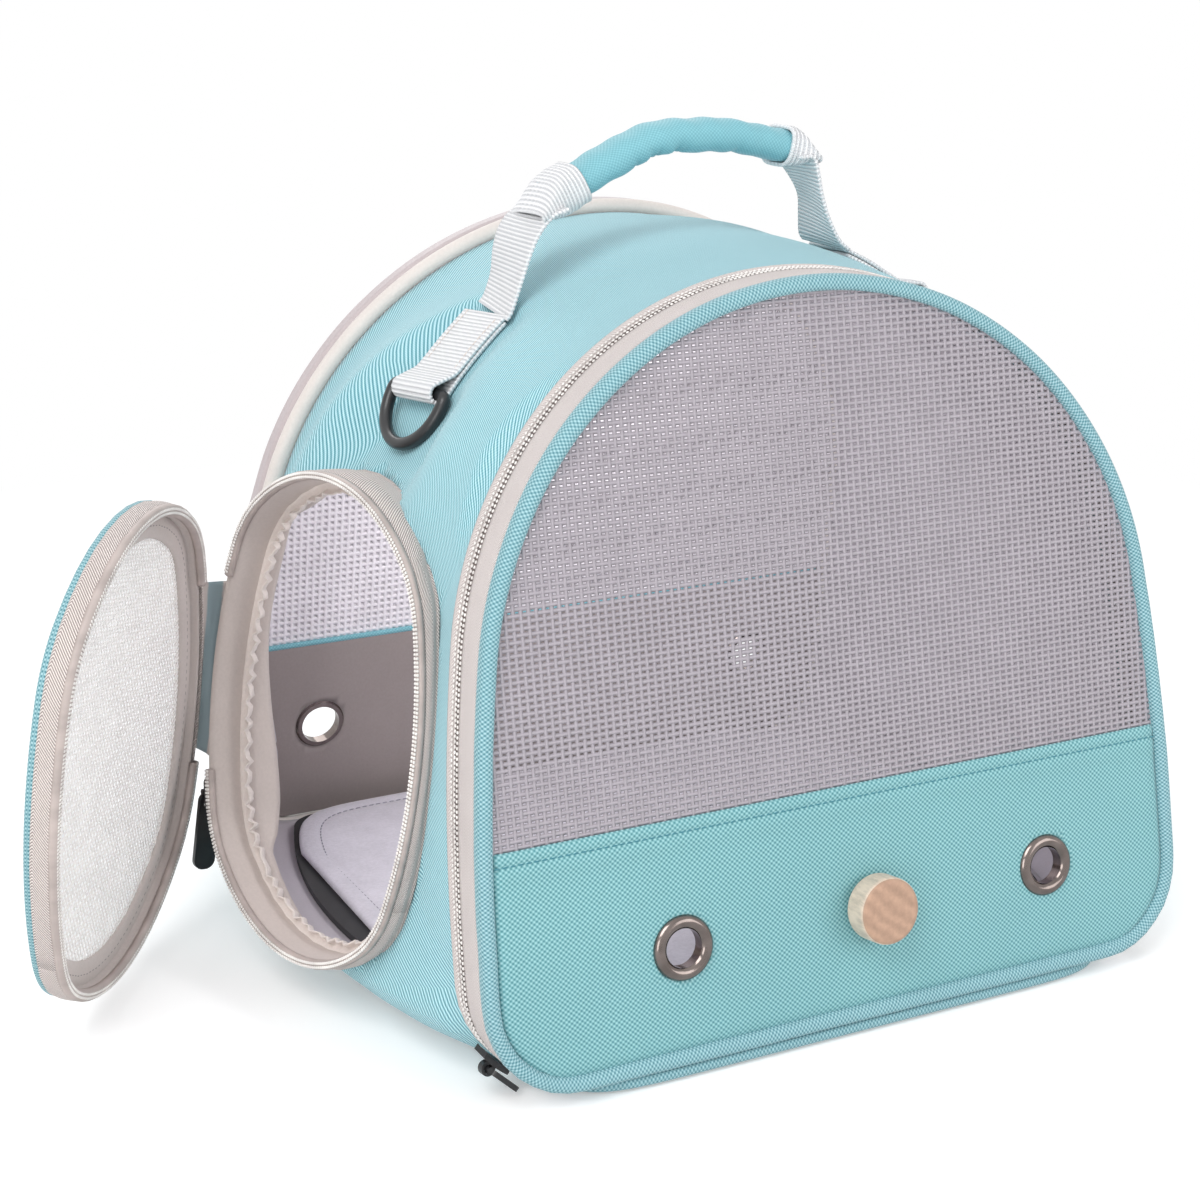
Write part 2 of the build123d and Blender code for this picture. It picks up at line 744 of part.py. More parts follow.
def webbing_anchor(start):
    """Sewn end of the handle webbing, turned round the bar of the D-ring."""
    low = middle_arch.top_radius + cloth_clearance
    high = low + 2 * webbing_thickness
    about = Plane(origin=(top_centre_x, strap_y, top_centre_z), x_dir=(1, 0, 0),
                  z_dir=(0, -1, 0))
    shell = extrude(about * (Circle(high) - Circle(low)), webbing_width, both=True)
    length = middle_arch.top_radius * radians(anchor_span)
    plan = arch_frame(start + anchor_span / 2, 0) * Rectangle(length, webbing_width)
    strip = shell & extrude(plan, webbing_width, both=True)
    bar = bar_frame(start)
    across = Plane(origin=bar.origin, x_dir=bar.x_dir, z_dir=bar.y_dir)
    loop = extrude(across * Circle(loop_outer), webbing_width / 2, both=True)
    hole = extrude(across * Circle(loop_inner), webbing_width, both=True)
    return strip + loop - hole


def d_ring(start):
    """Moulded D-ring that lies against the cloth below its webbing."""
    half = (webbing_width + ring_play + ring_wire) / 2
    straight = half - ring_corner
    top = ring_corner + ring_side
    path = Wire([
        Line((0, straight), (0, -straight)).edge(),
        CenterArc((ring_corner, -straight), ring_corner, 180, 90).edge(),
        Line((ring_corner, -half), (top, -half)).edge(),
        CenterArc((top, 0), half, -90, 180).edge(),
        Line((top, half), (ring_corner, half)).edge(),
        CenterArc((ring_corner, straight), ring_corner, 90, 90).edge(),
    ])
    bar = bar_frame(start)
    r_bar = middle_arch.top_radius + bar_height
    r_end = middle_arch.top_radius + ring_wire / 2 + cloth_clearance
    reach = half + top
    dip = asin((r_bar ** 2 + reach ** 2 - r_end ** 2) / (2 * r_bar * reach))
    place = Plane(origin=bar.origin, x_dir=bar.x_dir * cos(dip) - bar.z_dir * sin(dip),
                  z_dir=bar.z_dir * cos(dip) + bar.x_dir * sin(dip))
    located = place * path
    start = Plane(origin=located @ 0, z_dir=located % 0)
    return sweep(start * Circle(ring_wire / 2), path=located)


def mirrored(piece):
    """The same piece on the right flank of the arch."""
    return mirror(piece, about=Plane.YZ.offset(top_centre_x))


# ---------------------------------------------------------------- handle
HANDLE = Plane(origin=(0, strap_y, cabin_top), x_dir=(1, 0, 0), z_dir=(0, -1, 0))


def grip_section(extra):
    """Oval of the padded grip, grown by a wall."""
    width, height = grip_width + 2 * extra, grip_thickness + 2 * extra
    return RectangleRounded(width, height, height / 2 - 0.4)


def handle_grip():
    """Padded cloth sleeve that the hand holds."""
    path = HANDLE * FilletPolyline(*grip_line, radius=grip_bend)
    start = Plane(origin=path @ 0, x_dir=(0, 1, 0), z_dir=path % 0)
    return sweep(start * grip_section(0), path=path)


def grip_end(index, inner):
    """Frame at one end of the grip, Z looking along the grip towards its middle."""
    (x, z), (ix, iz) = grip_line[index], grip_line[inner]
    return Plane(origin=(x, strap_y, cabin_top + z), x_dir=(0, 1, 0), z_dir=(ix - x, 0, iz - z))


def webbing_sleeve(frame, length):
    """Webbing folded round one end of the grip."""
    back = frame.offset(-touch_gap - wrap_thickness)
    outer = extrude(back * grip_section(touch_gap + wrap_thickness),
                    length + touch_gap + wrap_thickness)
    return outer - extrude(frame.offset(-touch_gap) * grip_section(touch_gap), length + 1)


def handle_wraps():
    return Compound([webbing_sleeve(grip_end(0, 1), wrap_left),
                     webbing_sleeve(grip_end(3, 2), wrap_right)])


def strap(points, foot, lift):
    """Free webbing from the sleeve on the grip down to the cloth."""
    low = Vector(foot.X, foot.Z - cabin_top)
    path = HANDLE * FilletPolyline(*points, low + Vector(*lift), low, radius=strap_bend)
    start = Plane(origin=path @ 0, x_dir=(0, 1, 0), z_dir=path % 0)
    return sweep(start * Rectangle(webbing_width, webbing_thickness), path=path)


def strap_foot(start):
    """Where a strap leaves the sewn webbing."""
    return arch_point(start - strap_step, cloth_clearance + 1.5 * webbing_thickness)


def strap_left():
    return strap(strap_left_line, strap_foot(anchor_left_start), strap_left_lift)


def strap_right():
    foot = strap_foot(anchor_right_start)
    foot = Vector(2 * top_centre_x - foot.X, strap_y, foot.Z)
    return strap(strap_right_line, foot, strap_right_lift)


# ---------------------------------------------------------------- parts
PIECES = {
    "gusset_cloth": gusset_cloth,
    "gusset_stiffener": gusset_stiffener,
    "gusset_lining": gusset_lining,
    "base_panel": base_panel,
    "base_board": base_board,
    "floor_mat": floor_mat,
    "front_lower_band": front_lower_band,
    "front_window_mesh": front_window_mesh,
    "front_binding": front_binding,
    "front_zip_tape": front_zip_tape,
    "front_zip_coil": front_zip_coil,
    "gusset_zip_coil": gusset_zip_coil,
    "front_eyelets": front_eyelets,
    "perch_knob": perch_knob,
    "perch_stud": perch_stud,
    "perch_washers": perch_washers,
    "perch": perch,
    "back_lower_band": back_lower_band,
    "back_window_mesh": back_window_mesh,
    "back_eyelets": back_eyelets,
    "back_piping": back_piping,
    "back_binding": back_binding,
    "door_collar": door_collar,
    "door_collar_tape": door_collar_tape,
    "door_collar_coil": door_collar_coil,
    "door_frill": door_frill,
    "door_hinge_strip": door_hinge_strip,
    "leaf_coil": leaf_coil,
    "leaf_tape": leaf_tape,
    "leaf_frame": leaf_frame,
    "leaf_window": leaf_window,
    "leaf_piping": leaf_piping,
    "front_slider": front_slider,
    "front_pull": front_pull,
    "door_slider": door_slider,
    "door_pull": door_pull,
    "anchor_left": lambda: webbing_anchor(anchor_left_start),
    "anchor_right": lambda: mirrored(webbing_anchor(anchor_right_start)),
    "d_ring_left": lambda: d_ring(anchor_left_start),
    "d_ring_right": lambda: mirrored(d_ring(anchor_right_start)),
    "strap_left": strap_left,
    "strap_right": strap_right,
    "handle_grip": handle_grip,
    "handle_wraps": handle_wraps,
}

os.makedirs("parts", exist_ok=True)
for name, make in PIECES.items():
    export_step(make(), f"parts/{name}.step")
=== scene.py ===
# %% [markdown]
# A soft travel carrier for a small bird: a cloth arch with woven windows, a zipped front
# that folds down, an oval side door that stands open, and a padded handle on webbing.
# The frame holds the carrier's measured solids. This lesson dresses them: rigid pieces keep
# their solids and get a finish, and each soft solid is replaced by a sewn piece.

# %% Load the frame
import bpy
import bmesh
from math import asin, atan2, cos, degrees, exp, pi, radians, sin, sqrt
from mathutils import Matrix, Vector, noise
from mathutils.bvhtree import BVHTree


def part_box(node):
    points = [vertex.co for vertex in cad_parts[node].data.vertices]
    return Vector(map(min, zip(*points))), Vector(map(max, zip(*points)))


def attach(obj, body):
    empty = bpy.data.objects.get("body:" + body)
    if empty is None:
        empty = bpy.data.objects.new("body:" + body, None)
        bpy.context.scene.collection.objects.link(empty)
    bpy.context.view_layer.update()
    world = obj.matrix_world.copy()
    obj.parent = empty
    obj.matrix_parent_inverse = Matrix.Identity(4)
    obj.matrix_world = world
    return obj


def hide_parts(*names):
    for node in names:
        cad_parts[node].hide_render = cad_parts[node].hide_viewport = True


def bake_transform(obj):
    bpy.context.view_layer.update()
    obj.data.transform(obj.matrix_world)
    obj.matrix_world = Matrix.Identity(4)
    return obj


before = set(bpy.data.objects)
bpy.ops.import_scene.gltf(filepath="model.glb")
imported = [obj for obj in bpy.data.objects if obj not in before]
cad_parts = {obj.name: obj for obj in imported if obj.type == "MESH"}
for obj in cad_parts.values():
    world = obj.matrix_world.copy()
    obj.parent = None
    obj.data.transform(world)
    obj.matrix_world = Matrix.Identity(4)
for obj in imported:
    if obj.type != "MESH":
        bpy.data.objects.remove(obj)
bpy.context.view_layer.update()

# %% [markdown]
# The camera stands to the left of the front and a little above, where the open door, the
# front and the top all show. Its lens is long, so the arch keeps its proportions, and the
# frame is square.

# %% Camera
MM = 0.001
X, Y, Z = (Vector(axis) for axis in ((1, 0, 0), (0, 1, 0), (0, 0, 1)))
scene = bpy.context.scene
view_out = Vector((0.4454, 0.847, -0.2903)).normalized()
view_side = view_out.cross(Z).normalized()
view_up = view_side.cross(view_out)
camera_roll = radians(0.265)
camera_side = view_side * cos(camera_roll) + view_up * sin(camera_roll)
camera_up = view_up * cos(camera_roll) - view_side * sin(camera_roll)
camera = bpy.data.objects.new("camera", bpy.data.cameras.new("camera"))
scene.collection.objects.link(camera)
turned = Matrix((camera_side, camera_up, -view_out)).transposed().to_4x4()
camera.matrix_world = Matrix.Translation(Vector((-455.6, -788.9, 412.4)) * MM) @ turned
camera.data.sensor_width = 36.0
camera.data.lens = 67.85
camera.data.clip_start = 0.01
scene.camera = camera
scene.view_settings.view_transform = "Standard"
print("camera at", [round(c, 3) for c in camera.location])

# %% [markdown]
# A finish is a small tree of nodes. These two helpers keep the trees readable: each call
# adds one node and returns what comes out of it.


# %% Helpers for finishes
class Nodes:
    """A node tree under construction."""

    def __init__(self, tree):
        self.tree = tree
        tree.nodes.clear()

    def feed(self, socket, value):
        """Gives a socket a value, or links it to another node's output."""
        if isinstance(value, bpy.types.NodeSocket):
            self.tree.links.new(value, socket)
        else:
            socket.default_value = value

    def node(self, kind, fed=None, **settings):
        made = self.tree.nodes.new("ShaderNode" + kind)
        for key, value in settings.items():
            setattr(made, key, value)
        for socket, value in (fed or {}).items():
            self.feed(made.inputs[socket], value)
        return made

    def math(self, operation, a, b=0.0, c=0.0):
        return self.node("Math", {0: a, 1: b, 2: c}, operation=operation).outputs[0]


class Finish(Nodes):
    """A material under construction, with its shader."""

    def __init__(self, name, roughness=0.8, sheen=0.0, metallic=0.0, coat=0.0):
        self.material = bpy.data.materials.new(name)
        self.material.use_nodes = True
        super().__init__(self.material.node_tree)
        self.shader = self.node("BsdfPrincipled", {
            "Roughness": roughness, "Sheen Weight": sheen, "Metallic": metallic,
            "Coat Weight": coat})
        self.end = self.node("OutputMaterial", {0: self.shader.outputs[0]})
        self.where = self.node("TexCoord").outputs

    def scaled(self, value, times, plus=0.0):
        return self.math("MULTIPLY_ADD", value, times, plus)

    def cloth_xy(self):
        """Across and along the cloth, in metres, from the piece's own UV map."""
        return self.node("SeparateXYZ", {0: self.where["UV"]}).outputs[:2]

    def wave(self, value, pitch):
        """A sine of that pitch, from -1 to 1."""
        return self.math("SINE", self.scaled(value, 2 * pi / pitch))

    def noise(self, size, detail=2.0, rough=0.5, stretch=(1, 1, 1)):
        """Noise on the object's own coordinates, lumps of that size in metres."""
        place = self.node("Mapping", {"Vector": self.where["Object"], "Scale": stretch})
        return self.node("TexNoise", {
            "Vector": place.outputs[0], "Scale": 1 / size, "Detail": detail,
            "Roughness": rough}).outputs["Fac"]

    def ramp(self, value, *stops):
        """Colours along a value: each stop is (place, (r, g, b))."""
        made = self.node("ValToRGB", {0: value})
        band = made.color_ramp.elements
        while len(band) < len(stops):
            band.new(0.5)
        for element, (place, colour) in zip(band, stops):
            element.position = place
            element.color = (*colour, 1.0)
        return made.outputs[0]

    def tinted(self, value, levels, dark, light, low=0.3, high=0.7):
        """The colour, from its darker to its lighter shade as the value rises."""
        return self.ramp(value, *((place, tuple(min(1.0, c * share) for c in srgb(*levels)))
                                  for place, share in ((low, dark), (high, light))))

    def mix(self, share, a, b, kind="MIX"):
        return self.node("Mix", {0: share, 6: a, 7: b}, data_type="RGBA",
                         blend_type=kind).outputs[2]

    def done(self, colour, height=None, depth=0.0, strength=1.0, roughness=None):
        """Puts colour and bump on the shader; the bump is height, depth metres deep."""
        self.feed(self.shader.inputs["Base Color"], colour)
        if height is not None:
            bump = self.node("Bump", {"Strength": strength, "Distance": depth,
                                      "Height": height})
            self.feed(self.shader.inputs["Normal"], bump.outputs[0])
        if roughness is not None:
            self.feed(self.shader.inputs["Roughness"], roughness)
        return self.material


def srgb(*levels):
    """A colour named by its 0 to 255 display levels, as the shader needs it."""
    return tuple(((v / 255 + 0.055) / 1.055) ** 2.4 for v in levels)


def to_mesh(bm, name):
    data = bpy.data.meshes.new(name)
    bm.to_mesh(data)
    bm.free()
    return data


print("helpers for finishes ready")


# %% [markdown]
# Light: a broad soft lamp high on the left, a weaker one in front on the right, one behind,
# small ones for the door and the cabin, and an even pale sky. The floor keeps a faint shadow
# of the carrier. Further out it fades to plain white, which is how the sky looks to the
# camera, in glossy reflections and through clear things.

# %% Floor, sky and lamps
FADE_FROM, FADE_WIDTH = 0.42, 0.45
FLOOR_GLOW = 0.30
SKY_STRENGTH = 0.62
WHITE = (1, 1, 1, 1)
floor_mesh = bmesh.new()
bmesh.ops.create_grid(floor_mesh, x_segments=4, y_segments=4, size=8.0)
floor_data = to_mesh(floor_mesh, "floor")
floor_piece = bpy.data.objects.new("floor", floor_data)
floor_piece.location.z = -0.0002
scene.collection.objects.link(floor_piece)
floor = Finish("pale floor", roughness=0.9)
seen = floor.node("LightPath").outputs["Is Camera Ray"]
floor.feed(floor.shader.inputs["Emission Strength"], floor.math("MULTIPLY", seen, FLOOR_GLOW))
floor.feed(floor.shader.inputs["Emission Color"], WHITE)
floor_data.materials.append(floor.done(floor.ramp(
    floor.noise(0.6), (0.3, (0.80, 0.80, 0.80)), (0.7, (0.84, 0.84, 0.835)))))
reach = floor.node("VectorMath", {0: floor.where["Object"]}, operation="LENGTH")
far_out = floor.scaled(reach.outputs["Value"], 1 / FADE_WIDTH, -FADE_FROM / FADE_WIDTH)
far_out.node.use_clamp = True
floor_mix = floor.node("MixShader", {
    0: floor.math("MULTIPLY", far_out, seen), 1: floor.shader.outputs[0],
    2: floor.node("Emission").outputs[0]})
floor.feed(floor.end.inputs[0], floor_mix.outputs[0])

scene.world = bpy.data.worlds.new("pale sky")
scene.world.use_nodes = True
sky = Nodes(scene.world.node_tree)
rays = sky.node("LightPath").outputs
shown = sky.math("MAXIMUM", rays["Is Camera Ray"], rays["Is Glossy Ray"])
sky_mix = sky.node("MixShader", {
    0: sky.math("MAXIMUM", shown, rays["Is Transmission Ray"]),
    1: sky.node("Background", {"Color": (0.97, 0.98, 1.0, 1),
                               "Strength": SKY_STRENGTH}).outputs[0],
    2: sky.node("Background", {"Color": WHITE, "Strength": 1.0}).outputs[0]})
sky.node("OutputWorld", {0: sky_mix.outputs[0]})


def soft_lamp(name, place, size, power, target=(0, 0, 0.15)):
    """A square lamp that looks at the middle of the carrier, or at a target."""
    lamp = bpy.data.lights.new(name, "AREA")
    lamp.shape = "SQUARE"
    lamp.size = size
    lamp.energy = power
    made = bpy.data.objects.new(name, lamp)
    made.location = place
    made.visible_camera = False
    made.rotation_euler = (Vector(target) - made.location).to_track_quat("-Z", "Y").to_euler()
    scene.collection.objects.link(made)


soft_lamp("key lamp", (-1.3, -0.9, 1.9), 1.3, 25)
soft_lamp("front lamp", (1.2, -1.9, 1.0), 1.4, 15)
soft_lamp("back lamp", (0.3, 1.6, 1.4), 1.2, 10)
soft_lamp("door lamp", (-1.5, -1.2, 0.45), 0.8, 6.5, (-0.15, 0.05, 0.12))
soft_lamp("cabin lamp", (0.02, -0.03, 0.225), 0.10, 0.32, (-0.02, 0.14, 0.07))

# %% [markdown]
# The outer cloth is a coarse oxford: thick pale yarns that pass over and under each other in
# pairs, so that light knots stand in a staggered grid over a deeper teal. The product of two
# sines has exactly that grid. It drives both colour and bump, and reads the piece's own UV
# map, which is in metres, so the yarns keep their size on every piece.

# %% Oxford cloth and its ribbed binding
KNOT_ACROSS = 1.05 * MM
KNOT_ALONG = 0.95 * MM
TWILL_SHARE, KNOT_SHARE = 0.78, 0.3


def oxford(name, deep, light, across=KNOT_ACROSS, along=KNOT_ALONG, relief=0.22 * MM,
           twill=0.0):
    """Knots in a staggered grid; with a twill pitch, slanting ribs run over them."""
    cloth = Finish(name, roughness=0.72, sheen=0.25)
    cloth.shader.inputs["Sheen Roughness"].default_value = 0.4
    x, y = cloth.cloth_xy()
    knots = cloth.math("MULTIPLY", cloth.wave(x, 2 * across), cloth.wave(y, 2 * along))
    if twill:
        ribs = cloth.wave(cloth.math("ADD", x, y), twill)
        knots = cloth.scaled(ribs, TWILL_SHARE, cloth.scaled(knots, KNOT_SHARE))
    fibre = cloth.noise(0.0011)
    height = cloth.scaled(fibre, 0.35, cloth.scaled(knots, 0.5))
    between = tuple((a + b) / 2 for a, b in zip(deep, light))
    weave = cloth.ramp(cloth.scaled(knots, 0.5, 0.5), (0.08, deep), (0.55, between),
                       (0.95, light))
    patch = cloth.ramp(cloth.noise(0.09, 3), (0.3, (0.93, 0.94, 0.95)), (0.7, (1, 1, 1)))
    return cloth.done(cloth.mix(1.0, weave, patch, "MULTIPLY"), height, relief, 0.8)


teal_cloth = oxford("teal oxford cloth", srgb(74, 140, 147), srgb(165, 212, 215))
gusset_teal = oxford("light teal oxford cloth", srgb(74, 146, 160), srgb(206, 247, 253),
                     0.8 * MM, 0.75 * MM, 0.3 * MM, 2.3 * MM)
teal_soft = oxford("teal grip cloth", srgb(108, 170, 182), srgb(143, 200, 209),
                   0.9 * MM, 0.8 * MM, 0.1 * MM)
teal_rib = oxford("teal ribbed binding", srgb(74, 134, 146), srgb(178, 216, 222),
                  1.05 * MM, 0.8 * MM, 0.28 * MM)
print("oxford knots every", KNOT_ACROSS / MM, "by", KNOT_ALONG / MM, "mm")

# %% [markdown]
# The zip tapes are a fine herringbone: slanting ribs that turn back half way across the tape.
# A triangle wave across the tape shifts a sine that runs along it.

# %% Herringbone tape, webbing, smooth piping cloth


def herringbone(name, deep, light, width, pitch=1.15 * MM, slant=2.4, relief=0.16 * MM):
    tape = Finish(name, roughness=0.8, sheen=0.15)
    x, y = tape.cloth_xy()
    share = tape.math("FRACT", tape.scaled(x, 1 / width))
    turn = tape.math("ABSOLUTE", tape.math("SUBTRACT", share, 0.5))
    ribs = tape.wave(tape.scaled(turn, slant * width, y), pitch)
    colour = tape.ramp(tape.scaled(ribs, 0.5, 0.5), (0.1, deep), (0.8, light))
    dust = tape.ramp(tape.noise(0.03, 3), (0.3, (0.94, 0.94, 0.94)), (0.7, (1, 1, 1)))
    return tape.done(tape.mix(1.0, colour, dust, "MULTIPLY"), ribs, relief, 0.7)


def ribbed_webbing(name, deep, light, pitch=1.7 * MM):
    """Flat webbing: ribs across, and a finer yarn along each rib."""
    webbing = Finish(name, roughness=0.7, sheen=0.2)
    x, y = webbing.cloth_xy()
    ribs = webbing.wave(y, pitch)
    yarn = webbing.wave(webbing.scaled(ribs, 0.25 * MM, x), 1.1 * MM)
    height = webbing.scaled(yarn, 0.3, ribs)
    colour = webbing.ramp(webbing.scaled(height, 0.38, 0.5), (0.1, deep), (0.75, light))
    return webbing.done(colour, height, 0.3 * MM, 0.8)


def plain_cloth(name, levels, roughness, relief=0.06 * MM):
    """A fine cloth whose yarns are too small to see one by one."""
    cloth = Finish(name, roughness=roughness, sheen=0.2)
    fine = cloth.noise(0.0012)
    tone = cloth.scaled(cloth.noise(0.05, 3), 0.6, cloth.scaled(fine, 0.4))
    return cloth.done(cloth.tinted(tone, levels, 0.90, 1.05), fine, relief, 0.6)


beige_tape = herringbone("beige zip tape", srgb(200, 188, 184), srgb(238, 229, 226), 6.2 * MM)
door_tape = herringbone("grey beige door tape", srgb(158, 144, 139), srgb(247, 236, 231),
                        12.0 * MM, 1.3 * MM, 1.3, 0.25 * MM)
white_webbing = ribbed_webbing("pale grey webbing", srgb(200, 201, 204), srgb(246, 246, 247))
collar_cloth = plain_cloth("beige collar cloth", (205, 193, 187), 0.6)
frill_cloth = plain_cloth("pale frill cloth", (228, 217, 211), 0.8)
cream_cloth = plain_cloth("cream piping cloth", (224, 215, 209), 0.55)
pink_cloth = plain_cloth("rose beige piping cloth", (192, 180, 181), 0.5)
lining_cloth = plain_cloth("lilac grey lining", (190, 183, 191), 0.55, 0.04 * MM)
taupe_cloth = plain_cloth("taupe band cloth", (158, 147, 144), 0.6)
trim_cloth = plain_cloth("grey binding cloth", (206, 195, 190), 0.7)
seam_thread = plain_cloth("deep teal thread", (62, 132, 146), 0.6, 0.03 * MM)
mat_thread = plain_cloth("grey mat thread", (150, 148, 160), 0.7, 0.03 * MM)
trim_thread = plain_cloth("grey trim thread", (142, 132, 130), 0.6, 0.02 * MM)
print("cloth finishes:", len(bpy.data.materials) - 1)

# %% [markdown]
# The windows are real strands of coated yarn, so their finish only needs a little gloss and
# a slight change of tone from strand to strand. The floor mat is felt: short fibres with no
# direction.

# %% Window yarn, felt and the small hard finishes


def coated_yarn(name, levels, roughness=0.45):
    yarn = Finish(name, roughness=roughness, sheen=0.1)
    return yarn.done(yarn.tinted(yarn.noise(0.012), levels, 0.95, 1.03), yarn.noise(0.0008),
                     0.05 * MM, 0.5)


def felt(name, levels):
    pad = Finish(name, roughness=0.95, sheen=0.4)
    fibres = pad.noise(0.0016, 5, 0.7)
    tone = pad.scaled(pad.noise(0.012, 3), 0.4, pad.scaled(fibres, 0.6))
    return pad.done(pad.tinted(tone, levels, 0.84, 1.08, 0.32, 0.68), fibres, 0.35 * MM, 0.7)


def moulded(name, levels, roughness, coat=0.0):
    """Moulded plastic: faint flow lines and a fine spark-eroded grain."""
    plastic = Finish(name, roughness=roughness, coat=coat)
    flow = plastic.noise(0.02, stretch=(1, 1, 3))
    return plastic.done(plastic.tinted(flow, levels, 0.85, 1.15), plastic.noise(0.0006),
                        0.03 * MM, 0.4, plastic.scaled(flow, 0.15, roughness - 0.07))


def plated(name, levels, roughness):
    """Plated metal with hairline wear."""
    metal = Finish(name, roughness=roughness, metallic=1.0)
    cloud = metal.noise(0.006, 3)
    hair = metal.noise(0.0007, stretch=(1, 1, 12))
    return metal.done(metal.tinted(cloud, levels, 0.8, 1.15), hair, 0.02 * MM, 0.3,
                      metal.scaled(cloud, 0.2, roughness - 0.1))


window_yarn = coated_yarn("lilac window yarn", (168, 161, 168))
# Painted light: the back window is the same lilac mesh as the front window, but its yarn is painted
# nearly white for the backdrop's light shining through it from behind.
backlit_yarn = coated_yarn("back window yarn with painted backlight", (246, 241, 246))
leaf_yarn = coated_yarn("white leaf yarn", (253, 249, 247), 0.6)
mat_felt = felt("lilac grey felt", (214, 210, 220))
black_plastic = moulded("black moulded plastic", (34, 34, 36), 0.36, 0.2)
board_black = moulded("black board", (52, 52, 54), 0.6)
white_board = moulded("white stiffener", (214, 216, 218), 0.6)
coil_nylon = moulded("pale zip nylon", (243, 237, 233), 0.38)
# Painted shade: the front zip's base is beige tape, painted dark so that the gaps between its beads
# look shaded.
zip_gap_shade = moulded("zip base in painted shade", (112, 98, 94), 0.5)
door_nylon = moulded("beige zip nylon", (184, 171, 166), 0.5)
gun_metal = plated("gunmetal plate", (126, 116, 112), 0.13)
zinc_metal = plated("zinc plate", (190, 190, 192), 0.34)
print("finishes:", len(bpy.data.materials))

# %% [markdown]
# The knob and the perch are turned from pale wood. Growth rings are cylinders round the
# trunk: a wave texture of rings, bent by noise, cut at a slant by the turned face. The end
# face of the knob is darker than its side, as end grain is.

# %% Wood
KNOB_AXIS = Vector((0, -0.98532, 0.17073))
knob_low, knob_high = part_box("perch_knob")


def turned_wood(name, node, face_levels, side_levels, axis, end_band):
    """Turned wood, as end grain within end_band of the node's far end along the axis."""
    wood = Finish(name, roughness=0.55, sheen=0.05)
    place = wood.node("Mapping", {
        "Vector": wood.where["Object"], "Location": -(knob_low + knob_high) / 2,
        "Rotation": (0.2, 0.9, 0.35)})
    rings = wood.node("TexWave", {
        "Vector": place.outputs[0], "Scale": 60.0, "Distortion": 3.0, "Detail": 3.0,
        "Detail Scale": 1.3}, wave_type="RINGS", rings_direction="Z")
    speck = wood.noise(0.0022, 4, 0.65, (1, 0.25, 1))
    depth = wood.node("VectorMath", {0: wood.where["Object"], 1: axis},
                      operation="DOT_PRODUCT")
    far_end = max(v.co.dot(axis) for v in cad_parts[node].data.vertices)
    end_grain = wood.math("GREATER_THAN", depth.outputs["Value"], far_end - end_band)
    grain = wood.scaled(speck, 0.75, wood.scaled(rings.outputs["Fac"], 0.25))
    face = wood.tinted(grain, face_levels, 0.80, 1.14, 0.25, 0.75)
    side = wood.tinted(speck, side_levels, 0.74, 1.0, 0.35, 0.6)
    return wood.done(wood.mix(end_grain, side, face), grain, 0.08 * MM, 0.5)


knob_wood = turned_wood("knob wood", "perch_knob", (184, 149, 126), (226, 206, 186),
                        KNOB_AXIS, 0.9 * MM)
perch_wood = turned_wood("perch wood", "perch", (206, 178, 146), (222, 200, 168),
                         -KNOB_AXIS, 1.5 * MM)
print("knob", [round(c / MM) for c in knob_high - knob_low], "mm")

# %% [markdown]
# Every seam of the carrier follows one of two outlines: the arch, drawn at the front, half
# way back and at the rear, and the upright oval of the side door. Both are chains of arcs
# that meet smoothly, so one small class holds a chain, gives a point and its outward
# direction anywhere along it, and measures its length for the cloth's UV map.

# %% Outlines


def around(points, closed=False):
    """Distance along a list of points, from 0; closed adds the way back to the first."""
    runs = [0.0]
    for a, b in zip(points, points[1:] + (points[:1] if closed else [])):
        runs.append(runs[-1] + (b - a).length)
    return runs


def crossings(ring, height):
    """Where a closed ring of points crosses the level at which height is 0."""
    hits = []
    for a, b in zip(ring, ring[1:] + ring[:1]):
        if (height(a) < 0) != (height(b) < 0):
            hits.append(a.lerp(b, height(a) / (height(a) - height(b))))
    return hits


class Chain:
    """A closed chain of arcs and straight runs, given in mm; u counts along its segments."""

    def __init__(self, segments):
        self.segments = []
        for segment in segments:
            if len(segment) == 4:
                (cx, cy), radius, start, sweep = segment
                self.segments.append(((cx * MM, cy * MM), radius * MM, start, sweep))
            else:
                self.segments.append(tuple(tuple(c * MM for c in end) for end in segment))

    def at(self, u, out=0.0):
        """The point at u, moved outwards, and the outward direction there."""
        u = u % len(self.segments)
        index = min(int(u), len(self.segments) - 1)
        share = u - index
        segment = self.segments[index]
        if len(segment) == 2:
            a, b = (Vector(end) for end in segment)
            along = (b - a).normalized()
            outward = Vector((along.y, -along.x))
            return a.lerp(b, share) + outward * out, outward
        centre, radius, start, sweep = segment
        angle = radians(start + sweep * share)
        outward = Vector((cos(angle), sin(angle)))
        return Vector(centre) + outward * (radius + out), outward

    def steps(self, counts):
        """Values of u: counts gives the cells in each segment."""
        return [i + j / n for i, n in enumerate(counts) for j in range(n)] + [len(counts)]

    def lengths(self, steps):
        """The running length at each step."""
        end = len(self.segments) - 1e-9
        return dict(zip(steps, around([self.at(min(u, end))[0] for u in steps])))

    def ring(self, fine, out=0.0):
        return [self.at(i / fine, out)[0] for i in range(len(self.segments) * fine)]

    def span(self, across, level, out=0.0):
        """Where a straight line at that level crosses the chain: its lowest and highest."""
        hits = [p[across] for p in crossings(self.ring(24, out), lambda p: p[1 - across] - level)]
        return (min(hits), max(hits)) if len(hits) > 1 else None


